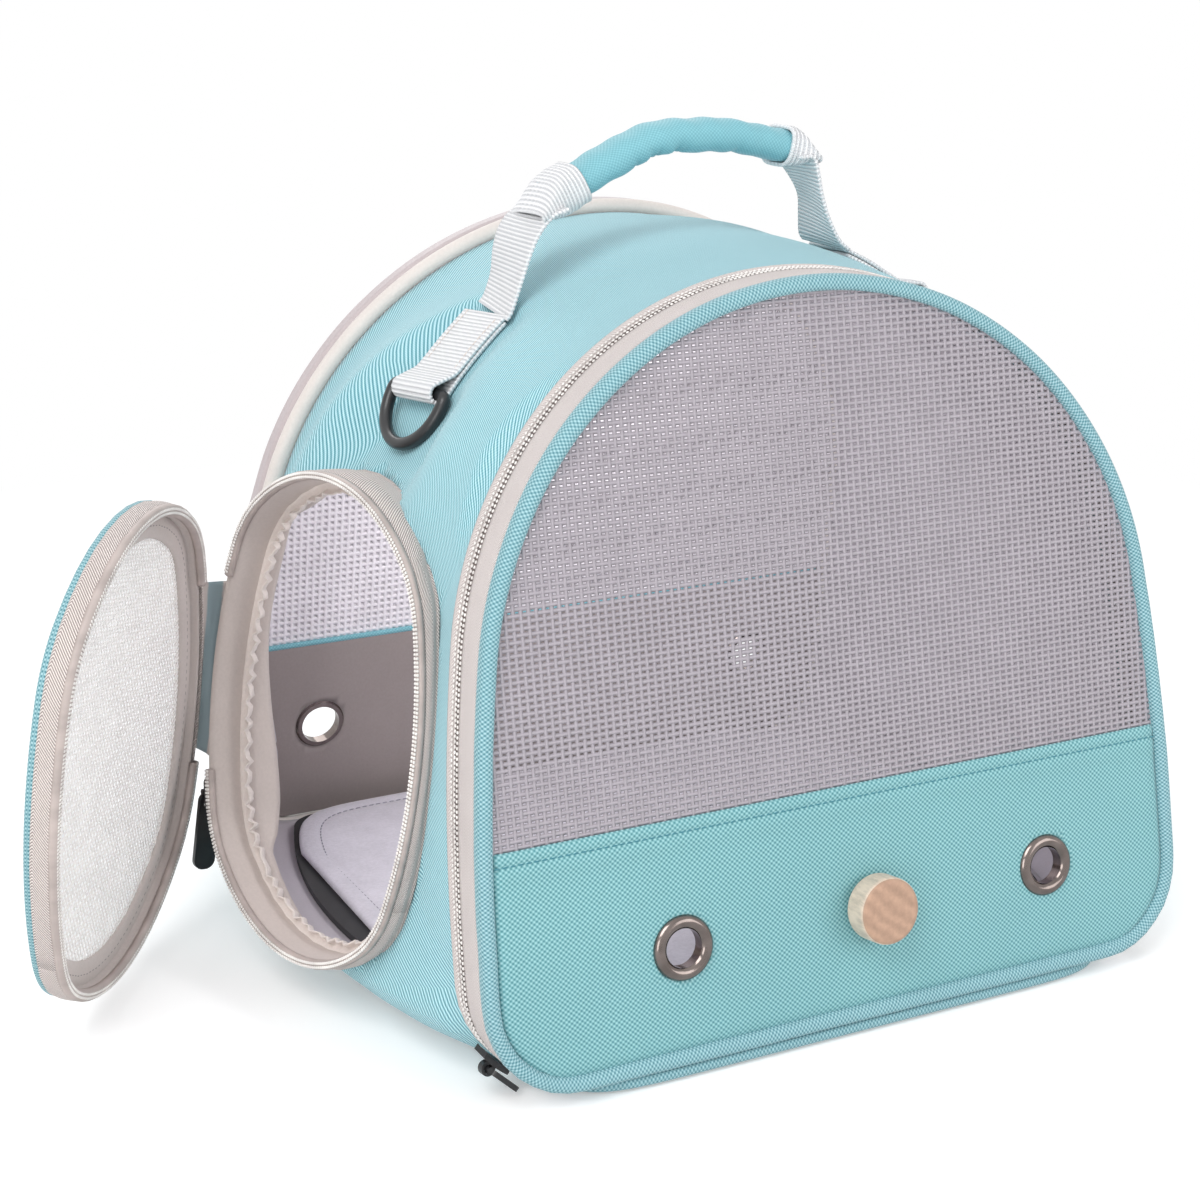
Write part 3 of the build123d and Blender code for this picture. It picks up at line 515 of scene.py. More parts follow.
def arch(left, right, height, corner, top_radius, shift=0.0):
    """From the right end of the foot, up over the top and back along the foot (mm)."""
    rise = height - corner - top_radius

    def side(reach):
        turn = 2 * atan2(reach - top_radius, rise)
        return degrees(turn), (rise + top_radius * sin(turn)) / sin(turn)

    left_turn, left_radius = side(left + shift)
    right_turn, right_radius = side(right - shift)
    return Chain([
        ((right - corner, corner), corner, -90, 90),
        ((right - right_radius, corner), right_radius, 0, right_turn),
        ((shift, height - top_radius), top_radius, right_turn, 180 - left_turn - right_turn),
        ((left_radius - left, corner), left_radius, 180 - left_turn, left_turn),
        ((corner - left, corner), corner, 180, 90),
        ((corner - left, 0.0), (right - corner, 0.0))])


LEAN = radians(9.83)
BASE = 6.0 * MM
HALF_DEPTH = 142.5 * MM
GUSSET_START = 26.0 * MM
front_arch = arch(156, 156, 284, 36, 148.4)
middle_arch = arch(163, 165, 283.5, 12, 150, 7)
rear_arch = arch(156, 158, 285.5, 30, 148, 7)
ARCH_CELLS = (8, 30, 96, 30, 8, 26)
arch_run = middle_arch.lengths(middle_arch.steps(ARCH_CELLS))
arch_length = max(arch_run.values())


def leaning_end(outline, way):
    """One end of the cabin: its points, and its directions round the seam."""
    def at(point, behind=0.0):
        return Vector((point[0], way * (point[1] * sin(LEAN) - HALF_DEPTH) + behind,
                       BASE + point[1] * cos(LEAN)))

    def frame_at(u, out, behind):
        """Origin, outward direction and backward direction."""
        point, outward = outline.at(u, out)
        across = Vector((outward.x, way * outward.y * sin(LEAN), outward.y * cos(LEAN)))
        return at(point, behind), across, Y

    return at, frame_at, Vector((0, -way * cos(LEAN), sin(LEAN)))


front_at, front_frame, FRONT_OUT = leaning_end(front_arch, 1)
rear_at, rear_frame, REAR_OUT = leaning_end(rear_arch, -1)


def through_three(share, near, middle, far):
    """A smooth curve through three values, at share 0, a half and 1."""
    return (near * ((1 - share) * (1 - 2 * share)) + middle * (4 * share * (1 - share))
            + far * (share * (2 * share - 1)))


def cabin_at(u, share, out=0.0):
    """The cabin's skin: u round the arch, share from the zip (0) to the rear seam (1)."""
    point = middle_arch.at(u, out)[0]
    return through_three(share, front_at(front_arch.at(u, out)[0], GUSSET_START),
                         Vector((point.x, 0.0, BASE + point.y)),
                         rear_at(rear_arch.at(u, out)[0]))


print("arch, round the outside:", round(arch_length, 3), "m")

# %% [markdown]
# The side door is an upright oval whose rim stands a little askew on the left side, further
# out at its hinge. Its own three directions are forward, up and out. The leaf is the same
# oval, turned open about the hinge.

# %% Door outline and its place
DOOR_HALF_WIDTH, DOOR_HALF_HEIGHT = 76.0, 95.0
DOOR_CORNER, SIDE_SWEEP, END_SWEEP = 48.0, 6.0, 8.0


def door_chain():
    cx = DOOR_HALF_WIDTH - DOOR_CORNER - SIDE_SWEEP
    cy = DOOR_HALF_HEIGHT - DOOR_CORNER - END_SWEEP
    side = ((DOOR_HALF_WIDTH - cx) ** 2 + cy ** 2 - DOOR_CORNER ** 2) / (2 * SIDE_SWEEP)
    end = (cx ** 2 + (DOOR_HALF_HEIGHT - cy) ** 2 - DOOR_CORNER ** 2) / (2 * END_SWEEP)
    a = degrees(asin(cy / (side - DOOR_CORNER)))
    e = degrees(asin(cx / (end - DOOR_CORNER)))
    side_x, end_y, turn = DOOR_HALF_WIDTH - side, DOOR_HALF_HEIGHT - end, 90 - a - e
    return Chain([
        ((side_x, 0), side, -a, 2 * a), ((cx, cy), DOOR_CORNER, a, turn),
        ((0, end_y), end, 90 - e, 2 * e), ((-cx, cy), DOOR_CORNER, 90 + e, turn),
        ((-side_x, 0), side, 180 - a, 2 * a), ((-cx, -cy), DOOR_CORNER, 180 + a, turn),
        ((0, -end_y), end, 270 - e, 2 * e), ((cx, -cy), DOOR_CORNER, 270 + e, turn)])


door = door_chain()
door_steps = door.steps((16, 12, 10, 12, 16, 12, 10, 12))
door_run = door.lengths(door_steps)
oval_length = max(door_run.values())
DOOR_YAW, DOOR_TIP, DOOR_OPEN = radians(9.8), radians(8.8), radians(48.6)
DOOR_MIDDLE = Vector((-174.9, -8.2, 113.9)) * MM
DOOR_FORWARD = Vector((sin(DOOR_YAW), -cos(DOOR_YAW), 0))
DOOR_OUT = Vector((-cos(DOOR_YAW) * cos(DOOR_TIP), -sin(DOOR_YAW) * cos(DOOR_TIP), sin(DOOR_TIP)))
DOOR_UP = DOOR_OUT.cross(DOOR_FORWARD)
HINGE = DOOR_MIDDLE - DOOR_FORWARD * DOOR_HALF_WIDTH * MM
HINGE_AXIS = Vector((0.133, -0.057, -0.989)).normalized()
OPEN_LEAF = (Matrix.Translation(HINGE) @ Matrix.Rotation(DOOR_OPEN, 4, HINGE_AXIS)
             @ Matrix.Translation(-HINGE))


def rim_at(point, lift=0.0):
    """A point in the plane of the door rim, lifted outwards."""
    return DOOR_MIDDLE + DOOR_FORWARD * point[0] + DOOR_UP * point[1] + DOOR_OUT * lift


def leaf_at(point, lift=0.0):
    return OPEN_LEAF @ rim_at(point, lift)


def on_rim(place):
    """A place in the rim's own directions: the point of its plane, and the lift."""
    away = place - DOOR_MIDDLE
    return Vector((away.dot(DOOR_FORWARD), away.dot(DOOR_UP))), away.dot(DOOR_OUT)


print("door rim:", round(oval_length, 3), "m round")

# %% [markdown]
# Most cloth here is a sheet or a sleeve that bends along an outline. Blender's grid operator
# makes such a sheet flat, with its rows and columns in order. Each corner is then carried to
# its place by a function of its row and column, and the flat distances are kept as the UV
# map, in metres.

# %% Helpers for cloth pieces
SLOTS = {
    "teal_oxford": (teal_cloth, gusset_teal, teal_soft, teal_rib, seam_thread),
    "beige_tape": (beige_tape, door_tape, collar_cloth, frill_cloth, pink_cloth, trim_cloth,
                   trim_thread, zip_gap_shade, door_nylon),
    "coil_nylon": (coil_nylon,), "stiffener_plastic": (white_board,),
    "grey_lining": (lining_cloth,), "taupe_cloth": (taupe_cloth,),
    "window_mesh": (window_yarn, backlit_yarn), "white_mesh": (leaf_yarn,),
    "mat_felt": (mat_felt, mat_thread), "webbing": (white_webbing, cream_cloth)}
slot_of = {finish.name: slot for slot, group in SLOTS.items() for finish in group}


def flip(bm):
    bmesh.ops.reverse_faces(bm, faces=bm.faces)


def face_out(bm):
    bmesh.ops.recalc_face_normals(bm, faces=bm.faces)


def empty_mesh():
    bm = bmesh.new()
    bm.loops.layers.uv.new("cloth")
    return bm


def sheet_mesh(us, vs, place, measure, welded=False, capped=False, inside_out=False):
    """A grid carried into place; place and measure take (u, v).

    us and vs are lists, or the number of cells. Welded joins the sides that meet,
    capped also closes the open ends and turns every face outwards.
    """
    us, vs = (range(s + 1) if isinstance(s, int) else s for s in (us, vs))
    bm = empty_mesh()
    cloth_map = bm.loops.layers.uv["cloth"]
    columns, rows = len(us) - 1, len(vs) - 1
    bmesh.ops.create_grid(bm, x_segments=columns, y_segments=rows, size=1.0)
    cell = {}
    for vert in bm.verts:
        i = round((vert.co.x + 1) / 2 * columns)
        j = round((vert.co.y + 1) / 2 * rows)
        cell[vert] = (us[i], vs[j])
    for face in bm.faces:
        for loop in face.loops:
            loop[cloth_map].uv = measure(*cell[loop.vert])
    for vert in bm.verts:
        vert.co = place(*cell[vert])
    if welded or capped:
        bmesh.ops.remove_doubles(bm, verts=bm.verts, dist=1e-6)
    if capped:
        bmesh.ops.holes_fill(bm, edges=[e for e in bm.edges if e.is_boundary], sides=0)
        face_out(bm)
    if inside_out:
        flip(bm)
    return bm


def piece(bm, name, body, finish, stands_for=None, wall=0.0, offset=-1.0, slot=None):
    """Turns the mesh into an object at the origin that rides on a body."""
    for face in bm.faces:
        face.smooth = True
    made = bpy.data.objects.new(name, to_mesh(bm, name))
    made.data.materials.append(finish)
    scene.collection.objects.link(made)
    if wall:
        thick = made.modifiers.new("cloth thickness", "SOLIDIFY")
        thick.thickness = wall
        thick.offset = offset
        thick.use_even_offset = True
    if body:
        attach(made, body)
    slot or slot_of[finish.name]
    if stands_for:
        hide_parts(stands_for)
    print(name, "has", len(made.data.polygons), "faces")
    return made


def tube_mesh(stations, section, closed=True):
    """A sleeve: stations are (origin, across, up) and the section is points (a, b)."""
    path = around([s[0] for s in stations], closed)
    if closed:
        stations = stations + stations[:1]
    girth = around([Vector(p) for p in section], True)

    def place(i, j):
        origin, across, up = stations[i]
        a, b = section[j % len(section)]
        return origin + across * a + up * b

    bm = sheet_mesh(len(stations) - 1, len(section), place, lambda i, j: (girth[j], path[i]),
                    welded=True, capped=not closed)
    face_out(bm)
    return bm


def circle(count, wide, tall=None):
    """Points of a circle, or of an ellipse."""
    turns = [2 * pi * k / count for k in range(count)]
    return [(wide * cos(a), (tall or wide) * sin(a)) for a in turns]


def rounded(width, height, corner, cells):
    """Points of a rounded rectangle round its middle."""
    points = []
    for k, (sx, sy) in enumerate(((1, 1), (-1, 1), (-1, -1), (1, -1))):
        cx, cy = sx * (width / 2 - corner), sy * (height / 2 - corner)
        for i in range(cells + 1):
            angle = radians(90 * k + 90 * i / cells)
            points.append((cx + corner * cos(angle), cy + corner * sin(angle)))
    return points


def bead(name, length, width, height):
    """A small rounded bar along X, the template of stitches and zip teeth."""
    bm = bmesh.new()
    bmesh.ops.create_cube(bm, size=1.0)
    bmesh.ops.bevel(bm, geom=list(bm.edges), offset=0.28, segments=1, profile=0.5,
                    affect="EDGES", material=-1, clamp_overlap=True)
    bmesh.ops.scale(bm, vec=(length, width, height), verts=bm.verts)
    return to_mesh(bm, name)


def scatter(template, places):
    """One mesh that repeats a small template mesh at many places (4 by 4 matrices)."""
    bm = empty_mesh()
    for matrix in places:
        start = len(bm.verts)
        bm.from_mesh(template)
        bm.verts.ensure_lookup_table()
        bmesh.ops.transform(bm, matrix=matrix, verts=bm.verts[start:])
    return bm


def axes_at(origin, x_dir, z_dir):
    """A matrix at a point, with its X and Z along these directions."""
    z = z_dir.normalized()
    y = z.cross(x_dir).normalized()
    return Matrix.Translation(origin) @ Matrix((y.cross(z), y, z)).transposed().to_4x4()


def spaced(runs, spacing):
    """Even places along a line, from its running lengths: (step, share of the next step)."""
    for k in range(int(runs[-1] / spacing)):
        target = (k + 0.5) * spacing
        i = min(max(n for n in range(len(runs)) if runs[n] <= target), len(runs) - 2)
        yield i, (target - runs[i]) / max(runs[i + 1] - runs[i], 1e-9)


def bead_places(steps, runs, pitch, frames):
    """Places for beads along a line; each of frames gives the origin and the way out at u."""
    places = []
    for i, share in spaced(runs, pitch):
        u = steps[i] + (steps[i + 1] - steps[i]) * share
        for frame_of in frames:
            origin, out = frame_of(u)
            places.append(axes_at(origin, frame_of(u + 0.002)[0] - origin, out))
    return places


stitch_bead = bead("stitch bead", 2.3 * MM, 0.55 * MM, 0.5 * MM)


def stitch_row(points, outwards, spacing=3.1 * MM):
    """Places for stitches along a line of points, each with the way out of the cloth."""
    return [axes_at(points[i].lerp(points[i + 1], share), points[i + 1] - points[i],
                    outwards[i].lerp(outwards[i + 1], share))
            for i, share in spaced(around(points), spacing)]


def keep(finish, *nodes):
    """Rigid nodes keep their solids and get a finish."""
    for node in nodes:
        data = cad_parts[node].data
        data.materials.clear()
        data.materials.append(finish)


def bell(value, middle, reach):
    """1 at the middle, smoothly down to 0 at reach on either side."""
    share = max(0.0, 1 - ((value - middle) / reach) ** 2)
    return share * share


def smooth(share):
    share = min(1.0, max(0.0, share))
    return share * share * (3 - 2 * share)


def signed_power(value, power):
    """Turns the sine and cosine of a circle into those of a soft square."""
    return abs(value) ** power * (1 if value > 0 else -1)


def drift(*place):
    """A smooth random value between -1 and 1."""
    return noise.noise(Vector(place))


# %% [markdown]
# The gusset is the strip of cloth that makes both sides, the top and the floor, in one run
# round the arch. A plastic board inside keeps it taut, so it is nearly smooth: it swells a
# little between its seams and humps up behind the handle, and the cloth pulls in soft waves
# near the door. The door's collar stands out from the wall, and draws cloth, board and
# lining out towards itself. The opening for the door is cut along the oval.

# %% Gusset cloth and its board
GUSSET_CELLS = 56
PULL_REACH = 85.0 * MM
COLLAR_STAND = 11.5 * MM
HINGE_ROOM = 19.0 * MM
WALL_DEEPEST = -95 * MM
SILL, SILL_RISE = 4 * MM, 20 * MM
RING_GAP, RING_SHARE = 2 * MM, 0.62
CUT_REACH = 9 * MM
STILL = Vector((0, 0, 0))
gusset_shares = [j / GUSSET_CELLS for j in range(GUSSET_CELLS + 1)]
gusset_depth = 2 * HALF_DEPTH - GUSSET_START
door_ring = door.ring(12)
kept_flat = [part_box("d_ring_left"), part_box("anchor_left")]


def gusset_swell(u, share):
    """How far the outer cloth stands off its board, in mm."""
    taut = bell(share, 0.5, 0.52)
    hump = bell(share, 0.80, 0.17) * bell(u, 2.20, 0.42)
    side = bell(u, 3.35, 0.9) * bell(share, 0.35, 0.4)
    ripple = 0.5 + 0.5 * drift(u * 3.1, share * 4.7, 0.3)
    return 0.5 * taut + 3.6 * hump + 0.5 * side + 0.45 * ripple * taut


def clear_of(point, low, high):
    """Distance from a point to a box."""
    return Vector([max(a - p, 0.0, p - b) for p, a, b in zip(point, low, high)]).length


def pull_to_door(u, share):
    """The collar draws the wall out to itself; the pull dies out a hand's breadth away.

    Under the D-ring and its webbing the wall stays where it is, and below the hinge
    it leaves room for the leaf, which leans in there when it is thrown right back.
    """
    start = cabin_at(u, share)
    flat, lift = on_rim(start)
    room = smooth((-flat.x - 36 * MM) / (36 * MM)) * smooth((12 * MM - flat.y) / (50 * MM))
    stand = COLLAR_STAND + HINGE_ROOM * room
    if not WALL_DEEPEST < lift < -stand:
        return STILL
    round_off = abs(flat.x / (DOOR_HALF_WIDTH * MM)) ** 2.6
    round_off += abs(flat.y / (DOOR_HALF_HEIGHT * MM)) ** 2.6
    gap = 0.0 if round_off < 1 else min((q - flat).length for q in door_ring)
    held = smooth(14 * share) * smooth(3.2 * (1 - share))
    held *= smooth((start.z - SILL) / SILL_RISE)
    amount = (-stand - lift) * smooth(1 - gap / PULL_REACH) * held
    limit = RING_SHARE * max(0.0, min(clear_of(start, *box) for box in kept_flat) - RING_GAP)
    if min(amount, limit) < 0.01 * MM:
        return STILL
    return DOOR_OUT * (amount * limit / (amount ** 4 + limit ** 4) ** 0.25)


pulls = {(u, share): pull_to_door(u, share) for u in arch_run for share in gusset_shares}


def cut_door(bm, margin):
    """Removes the cloth inside the door's oval and draws the cut edge onto the oval."""
    ring = door.ring(24, margin)

    def near_door(point, lift):
        return -60 * MM < lift < 30 * MM and point.length < (DOOR_HALF_HEIGHT + 20) * MM

    def inside(point):
        hit = False
        for a, b in zip(ring, ring[1:] + ring[:1]):
            if (a.y > point.y) != (b.y > point.y):
                if point.x < a.x + (point.y - a.y) / (b.y - a.y) * (b.x - a.x):
                    hit = not hit
        return hit

    middles = [(face, *on_rim(face.calc_center_median())) for face in bm.faces]
    doomed = [face for face, point, lift in middles if near_door(point, lift) and inside(point)]
    bmesh.ops.delete(bm, geom=doomed, context="FACES")
    for vert in [v for v in bm.verts if v.is_boundary]:
        point, lift = on_rim(vert.co)
        if near_door(point, lift):
            near = min(ring, key=lambda q: (q - point).length_squared)
            if (near - point).length < CUT_REACH:
                vert.co += DOOR_FORWARD * (near.x - point.x) + DOOR_UP * (near.y - point.y)


def wall_layer(depth, margin, inside_out):
    """One layer of the wall, depth mm off the cabin's skin, with the doorway cut out."""
    bm = sheet_mesh(list(arch_run), gusset_shares,
                    lambda u, s: cabin_at(u, s, depth(u, s) * MM) + pulls[u, s],
                    lambda u, s: (arch_run[u], s * gusset_depth), welded=True,
                    inside_out=inside_out)
    cut_door(bm, margin * MM)
    return bm


gusset_mesh = wall_layer(gusset_swell, 0.3, True)
gusset_tree = BVHTree.FromBMesh(gusset_mesh)
piece(gusset_mesh, "gusset_cloth_sewn", "carrier", gusset_teal, "gusset_cloth", 0.9 * MM)
piece(wall_layer(lambda u, s: -1.15, 0.6, True), "gusset_board_bent", "carrier", white_board,
      "gusset_stiffener", 1.2 * MM)

# %% [markdown]
# Inside, a thin satin lining covers the board. It isn't stretched, so it creases: long soft
# folds run down from the corners of the windows on both sides, which is what shows through
# the front window.

# %% Lining
LINING_INSET = 2.6
CREASES = ((0.9, 0.55, 1.35, 0.95, 4.2), (1.1, 0.95, 1.5, 0.35, 3.4), (1.45, 0.3, 1.75, 0.8, 3.2),
           (1.75, 0.85, 2.05, 0.3, 2.6), (2.9, 0.9, 3.25, 0.55, 2.8), (2.65, 0.25, 2.9, 0.75, 2.6))


def crease_depth(u, share):
    """The sum of a few straight creases, each with its own height in mm."""
    depth = 0.0
    here = Vector((u, share))
    for u0, s0, u1, s1, height in CREASES:
        start, run = Vector((u0, s0)), Vector((u1 - u0, s1 - s0))
        along = (here - start).dot(run) / run.length_squared
        if -0.15 < along < 1.15:
            off = (here - start - run * along).length
            depth += height * bell(along, 0.5, 0.68) * max(0.0, 1 - off / 0.14) ** 1.5
    return depth


def lining_depth(u, share):
    slack = crease_depth(u, share) + 0.4 + 0.4 * drift(u * 2.3, share * 3.1, 4.0)
    return -LINING_INSET - slack * min(1.0, 8 * share, 8 * (1 - share))


piece(wall_layer(lining_depth, -1.0, False), "lining_sewn", "carrier", lining_cloth,
      "gusset_lining", 0.5 * MM)

# %% [markdown]
# The bottom is a separate stiffened panel of the same cloth, bound at its edge. It is built
# from the frame's own measured outline: a flat plate whose edge is rolled over.

# %% Base panel
BASE_CELLS = 160
BASE_PROFILE = ((0.0, 0.25), (0.35, 0.25), (0.80, 0.28), (0.965, 0.30), (0.985, 0.9), (1.0, 2.4),
                (1.0, 3.6), (0.985, 5.0), (0.965, 5.6), (0.6, 5.6), (0.0, 5.6))
base_low, base_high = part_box("base_panel")
base_half, base_mid = (base_high - base_low) / 2, (base_low + base_high) / 2
base_turns = [i / BASE_CELLS for i in range(BASE_CELLS + 1)]


def base_edge(turn):
    """A point of the base's outline, a soft rectangle whose sides swell."""
    y = signed_power(sin(2 * pi * turn), 0.16)
    taper = 1 - 0.17 * y ** 2
    return Vector((base_half.x * signed_power(cos(2 * pi * turn), 0.16) * taper, base_half.y * y, 0))


def base_spot(height):
    return Vector((base_mid.x, base_mid.y, height * MM))


base_mesh = sheet_mesh(base_turns, len(BASE_PROFILE) - 1,
                       lambda t, row: base_spot(BASE_PROFILE[row][1])
                       + base_edge(t) * BASE_PROFILE[row][0],
                       lambda t, row: (t * 1.1, BASE_PROFILE[row][0] * 0.15), welded=True)
face_out(base_mesh)
piece(base_mesh, "base_panel_sewn", "carrier", teal_cloth, "base_panel")
piece(tube_mesh([(base_spot(3.0) + base_edge(t) * 0.995,
                  (base_edge(t + 0.002) - base_edge(t)).cross(Z).normalized(), Z)
                 for t in base_turns[:-1]], circle(8, 1.9 * MM, 2.3 * MM)),
      "base_piping", "carrier", teal_rib)
print("base:", [round(c / MM) for c in base_half], "mm half size")

# %% [markdown]
# The front panel is bound all round with a ribbed teal tape folded over its edge. A rounded
# section carried along the arch gives its soft, slightly uneven roll.

# %% Front binding


def seam_tube(name, body, frame_at, steps, out, behind, section, finish, stands_for,
              uneven, waves, seed, slot=None):
    """A tube along an end of the cabin, which strays by up to uneven."""
    stations = []
    for u in steps[:-1]:
        origin, across, back = frame_at(u, out * MM, behind * MM)
        stray = uneven * MM * drift(u * waves, seed, 1.7)
        stations.append((origin + across * stray, across, back))
    piece(tube_mesh(stations, section), name, body, finish, stands_for, slot=slot)


seam_tube("front_binding_sewn", "front_panel", front_frame, front_arch.steps(ARCH_CELLS),
          -2.7, 3.1, rounded(6.0 * MM, 6.8 * MM, 2.4 * MM, 3), teal_rib, "front_binding",
          0.25, 9, 3, slot="teal_binding")

# %% [markdown]
# Below the window the panel is closed by a band of the outer cloth over a stiffener. Its top
# is a folded hem with one row of stitches, and it is pierced for two eyelets and the knob.

# %% Front band
PANEL_FACE = 1.0 * MM
BAND_TOP = 92.5 * MM
HEM_STITCHES = 87.6 * MM
FITTING_Z = 44.5 * MM
FRONT_HOLES = ((-76.0, 9.2), (90.0, 9.2), (7.0, 5.0))
BAND_COLUMNS = [k / 90 for k in range(91)]
BAND_LEVELS = [5.2, 5.8, 7, 9, 12, 16] + [21 + 4.1 * k for k in range(15)] + [
    80.5, 82.5, 84.5, 86.0, 87.2, 88.0, 88.6, 89.4, 90.6, 91.7, 92.4, 92.7]


def band_spans(outline, levels, inset, foot):
    """The band's left and right end at each level, or the foot's where it has none."""
    return {v * MM: outline.span(0, v * MM, inset * MM) or foot for v in levels}


front_spans = band_spans(front_arch, BAND_LEVELS, -5.0, (-120 * MM, 120 * MM))


def across_band(spans, share, v):
    low, high = spans[v]
    return low + (high - low) * share


def band_lift(x, v):
    """The hem stands proud, with a dent along its stitches; the cloth waves a little."""
    hem = 0.55 * min(1.0, max(0.0, (v - 80 * MM) / (3 * MM)))
    dent = 0.5 * bell(v, HEM_STITCHES, 1.6 * MM)
    roll = 1.3 * max(0.0, (v - 91.2 * MM) / (1.5 * MM)) ** 2
    wave = 0.5 * drift(x * 14, v * 16, 2.0)
    wave *= bell(v, 45 * MM, 44 * MM) if v < 88 * MM else 0.0
    return hem - dent - roll + wave


def band_place(share, v):
    low, high = front_spans[v]
    x = across_band(front_spans, share, v)
    to_binding = min(x - low, high - x, v - BAND_LEVELS[0] * MM)
    dip = 1.7 * max(0.0, 1 - to_binding / (4.5 * MM)) ** 2
    return front_at((x, v), PANEL_FACE) + FRONT_OUT * (band_lift(x, v) - dip) * MM


def cut_round(bm, centre, axis, radius):
    """Opens a round hole: the faces inside go, and the cut edge is drawn to the circle."""
    def off_axis(co):
        away = co - centre
        return away - axis * away.dot(axis)

    doomed = [f for f in bm.faces if off_axis(f.calc_center_median()).length < radius
              and abs((f.calc_center_median() - centre).dot(axis)) < 20 * MM]
    bmesh.ops.delete(bm, geom=doomed, context="FACES")
    for vert in bm.verts:
        flat = off_axis(vert.co)
        if vert.is_boundary and flat.length < radius * 1.7:
            vert.co += flat * (radius / flat.length - 1)


band_mesh = sheet_mesh(BAND_COLUMNS, list(front_spans), band_place,
                       lambda share, v: (across_band(front_spans, share, v), v))
for x, radius in FRONT_HOLES:
    cut_round(band_mesh, front_at((x * MM, FITTING_Z), PANEL_FACE), FRONT_OUT, radius * MM)
piece(band_mesh, "front_band_sewn", "front_panel", teal_cloth, "front_lower_band", 2.4 * MM)
seam_line = [front_at(((298 * k / 120 - 149) * MM, HEM_STITCHES), PANEL_FACE)
             + FRONT_OUT * 0.12 * MM for k in range(121)]
piece(scatter(stitch_bead, stitch_row(seam_line, [FRONT_OUT] * len(seam_line))),
      "front_hem_stitches", "front_panel", seam_thread)

# %% [markdown]
# The windows are woven from coated strands, upright and across, each passing over one and
# under the next. Here every strand is real, a flat ribbon that rises and dips at each
# crossing, so light falls through the gaps as it does in the cloth.

# %% Woven window maker
STRAND_THICK = 0.55 * MM
END_GAP = 0.3


def add_strand(bm, line, across, out, width, thick):
    """Adds one strand: a four-sided ribbon along a line of points."""
    corners = [across * (-width / 2), out * (thick / 2), across * (width / 2),
               out * (-thick / 2)]
    strand = to_mesh(sheet_mesh(len(line) - 1, 4, lambda i, k: line[i] + corners[k % 4],
                                lambda i, k: (k * width / 2, line[i].z), welded=True), "strand")
    bm.from_mesh(strand)
    bpy.data.meshes.remove(strand)


def woven_window(name, body, finish, stands_for, chain, inset, low, place, out, pitch, width,
                 rise, wave):
    """A window woven between a level and the top of its outline; pitch and width are in mm,
    each for the upright strands and then for those across."""
    bm = empty_mesh()
    (pitch_x, pitch_v), (width_x, width_v) = ([p * MM for p in pair] for pair in (pitch, width))
    left, right = chain.span(0, low + 60 * MM, inset)
    top = chain.span(1, 0.0, inset)[1]
    ups = [left + pitch_x * (k + 0.5) for k in range(-3, int((right - left) / pitch_x) + 3)]
    rows = [low + pitch_v * (k + 0.5) for k in range(int((top - low) / pitch_v))]

    def strand(index, spot, ends, stops, gap, over, across, width):
        line = [place(spot(ends[0]))]
        for k, stop in enumerate(stops):
            if ends[0] + END_GAP * gap < stop < ends[1] - END_GAP * gap:
                lift = (over if (index + k) % 2 else -over) + wave(*spot(stop))
                line.append(place(spot(stop)) + out * lift)
        line.append(place(spot(ends[1])))
        add_strand(bm, line, across, out, width, STRAND_THICK)

    for i, x in enumerate(ups):
        span = chain.span(1, x, inset)
        if span and span[1] >= low + pitch_v:
            strand(i, lambda v: (x, v), (max(low, span[0]), span[1]), rows, pitch_v, rise, X,
                   width_x)
    for j, v in enumerate(rows):
        span = chain.span(0, v, inset)
        if span:
            upright = (place((0, v + 0.001)) - place((0, v))).normalized()
            strand(j, lambda x: (x, v), span, ups, pitch_x, -rise, upright, width_v)
    print(len(ups), "strands up,", len(rows), "across")
    piece(bm, name, body, finish, stands_for)


def slack_at(x, v):
    """The windows aren't pulled tight: they may belly in the middle, but not at the edge."""
    return bell(x, 0, 152 * MM) * bell(v, 185 * MM, 95 * MM)


def front_wave(x, v):
    return slack_at(x, v) * (2.6 * drift(x * 9, v * 10, 7.7) + 0.8) * MM


woven_window("front_window_woven", "front_panel", window_yarn, "front_window_mesh", front_arch,
             -4.6 * MM, BAND_TOP - 3.0 * MM, lambda p: front_at(p, 2.7 * MM), FRONT_OUT,
             (3.0, 2.34), (1.8, 1.85), 0.09 * MM, front_wave)

# %% [markdown]
# Behind the binding runs a plain beige tape and then the zip, sewn with its coil inside, so
# that only the two halves' small ridges show. Each half is a base strip with a row of short
# beads, light on a darker ground; the front half's ground is beige tape painted dark, as
# painted shade between its beads.

# %% Front zip
ZIP_FROM, ZIP_TO = 0.22, 4.78
ZIP_PITCH = 1.9 * MM
zip_steps = [ZIP_FROM] + [u for u in front_arch.steps((8, 30, 110, 30, 8))
                          if ZIP_FROM < u < ZIP_TO] + [ZIP_TO]
zip_run = front_arch.lengths(zip_steps)
zip_length = max(zip_run.values())
zip_bead = bead("zip bead", 1.25 * MM, 1.05 * MM, 0.7 * MM)


def strip(rows, steps, place, run, **joined):
    """A strip whose rows are numbered: run gives its length at each step."""
    return sheet_mesh(steps, len(rows) - 1, lambda u, row: place(u, *rows[row]),
                      lambda u, row: (rows[row][0] * MM, run[u]), **joined)


def zip_at(u, depth, height):
    """A point of the zip: depth behind the front and height above the cloth, in mm."""
    return front_frame(u, height * MM, depth * MM)[0]


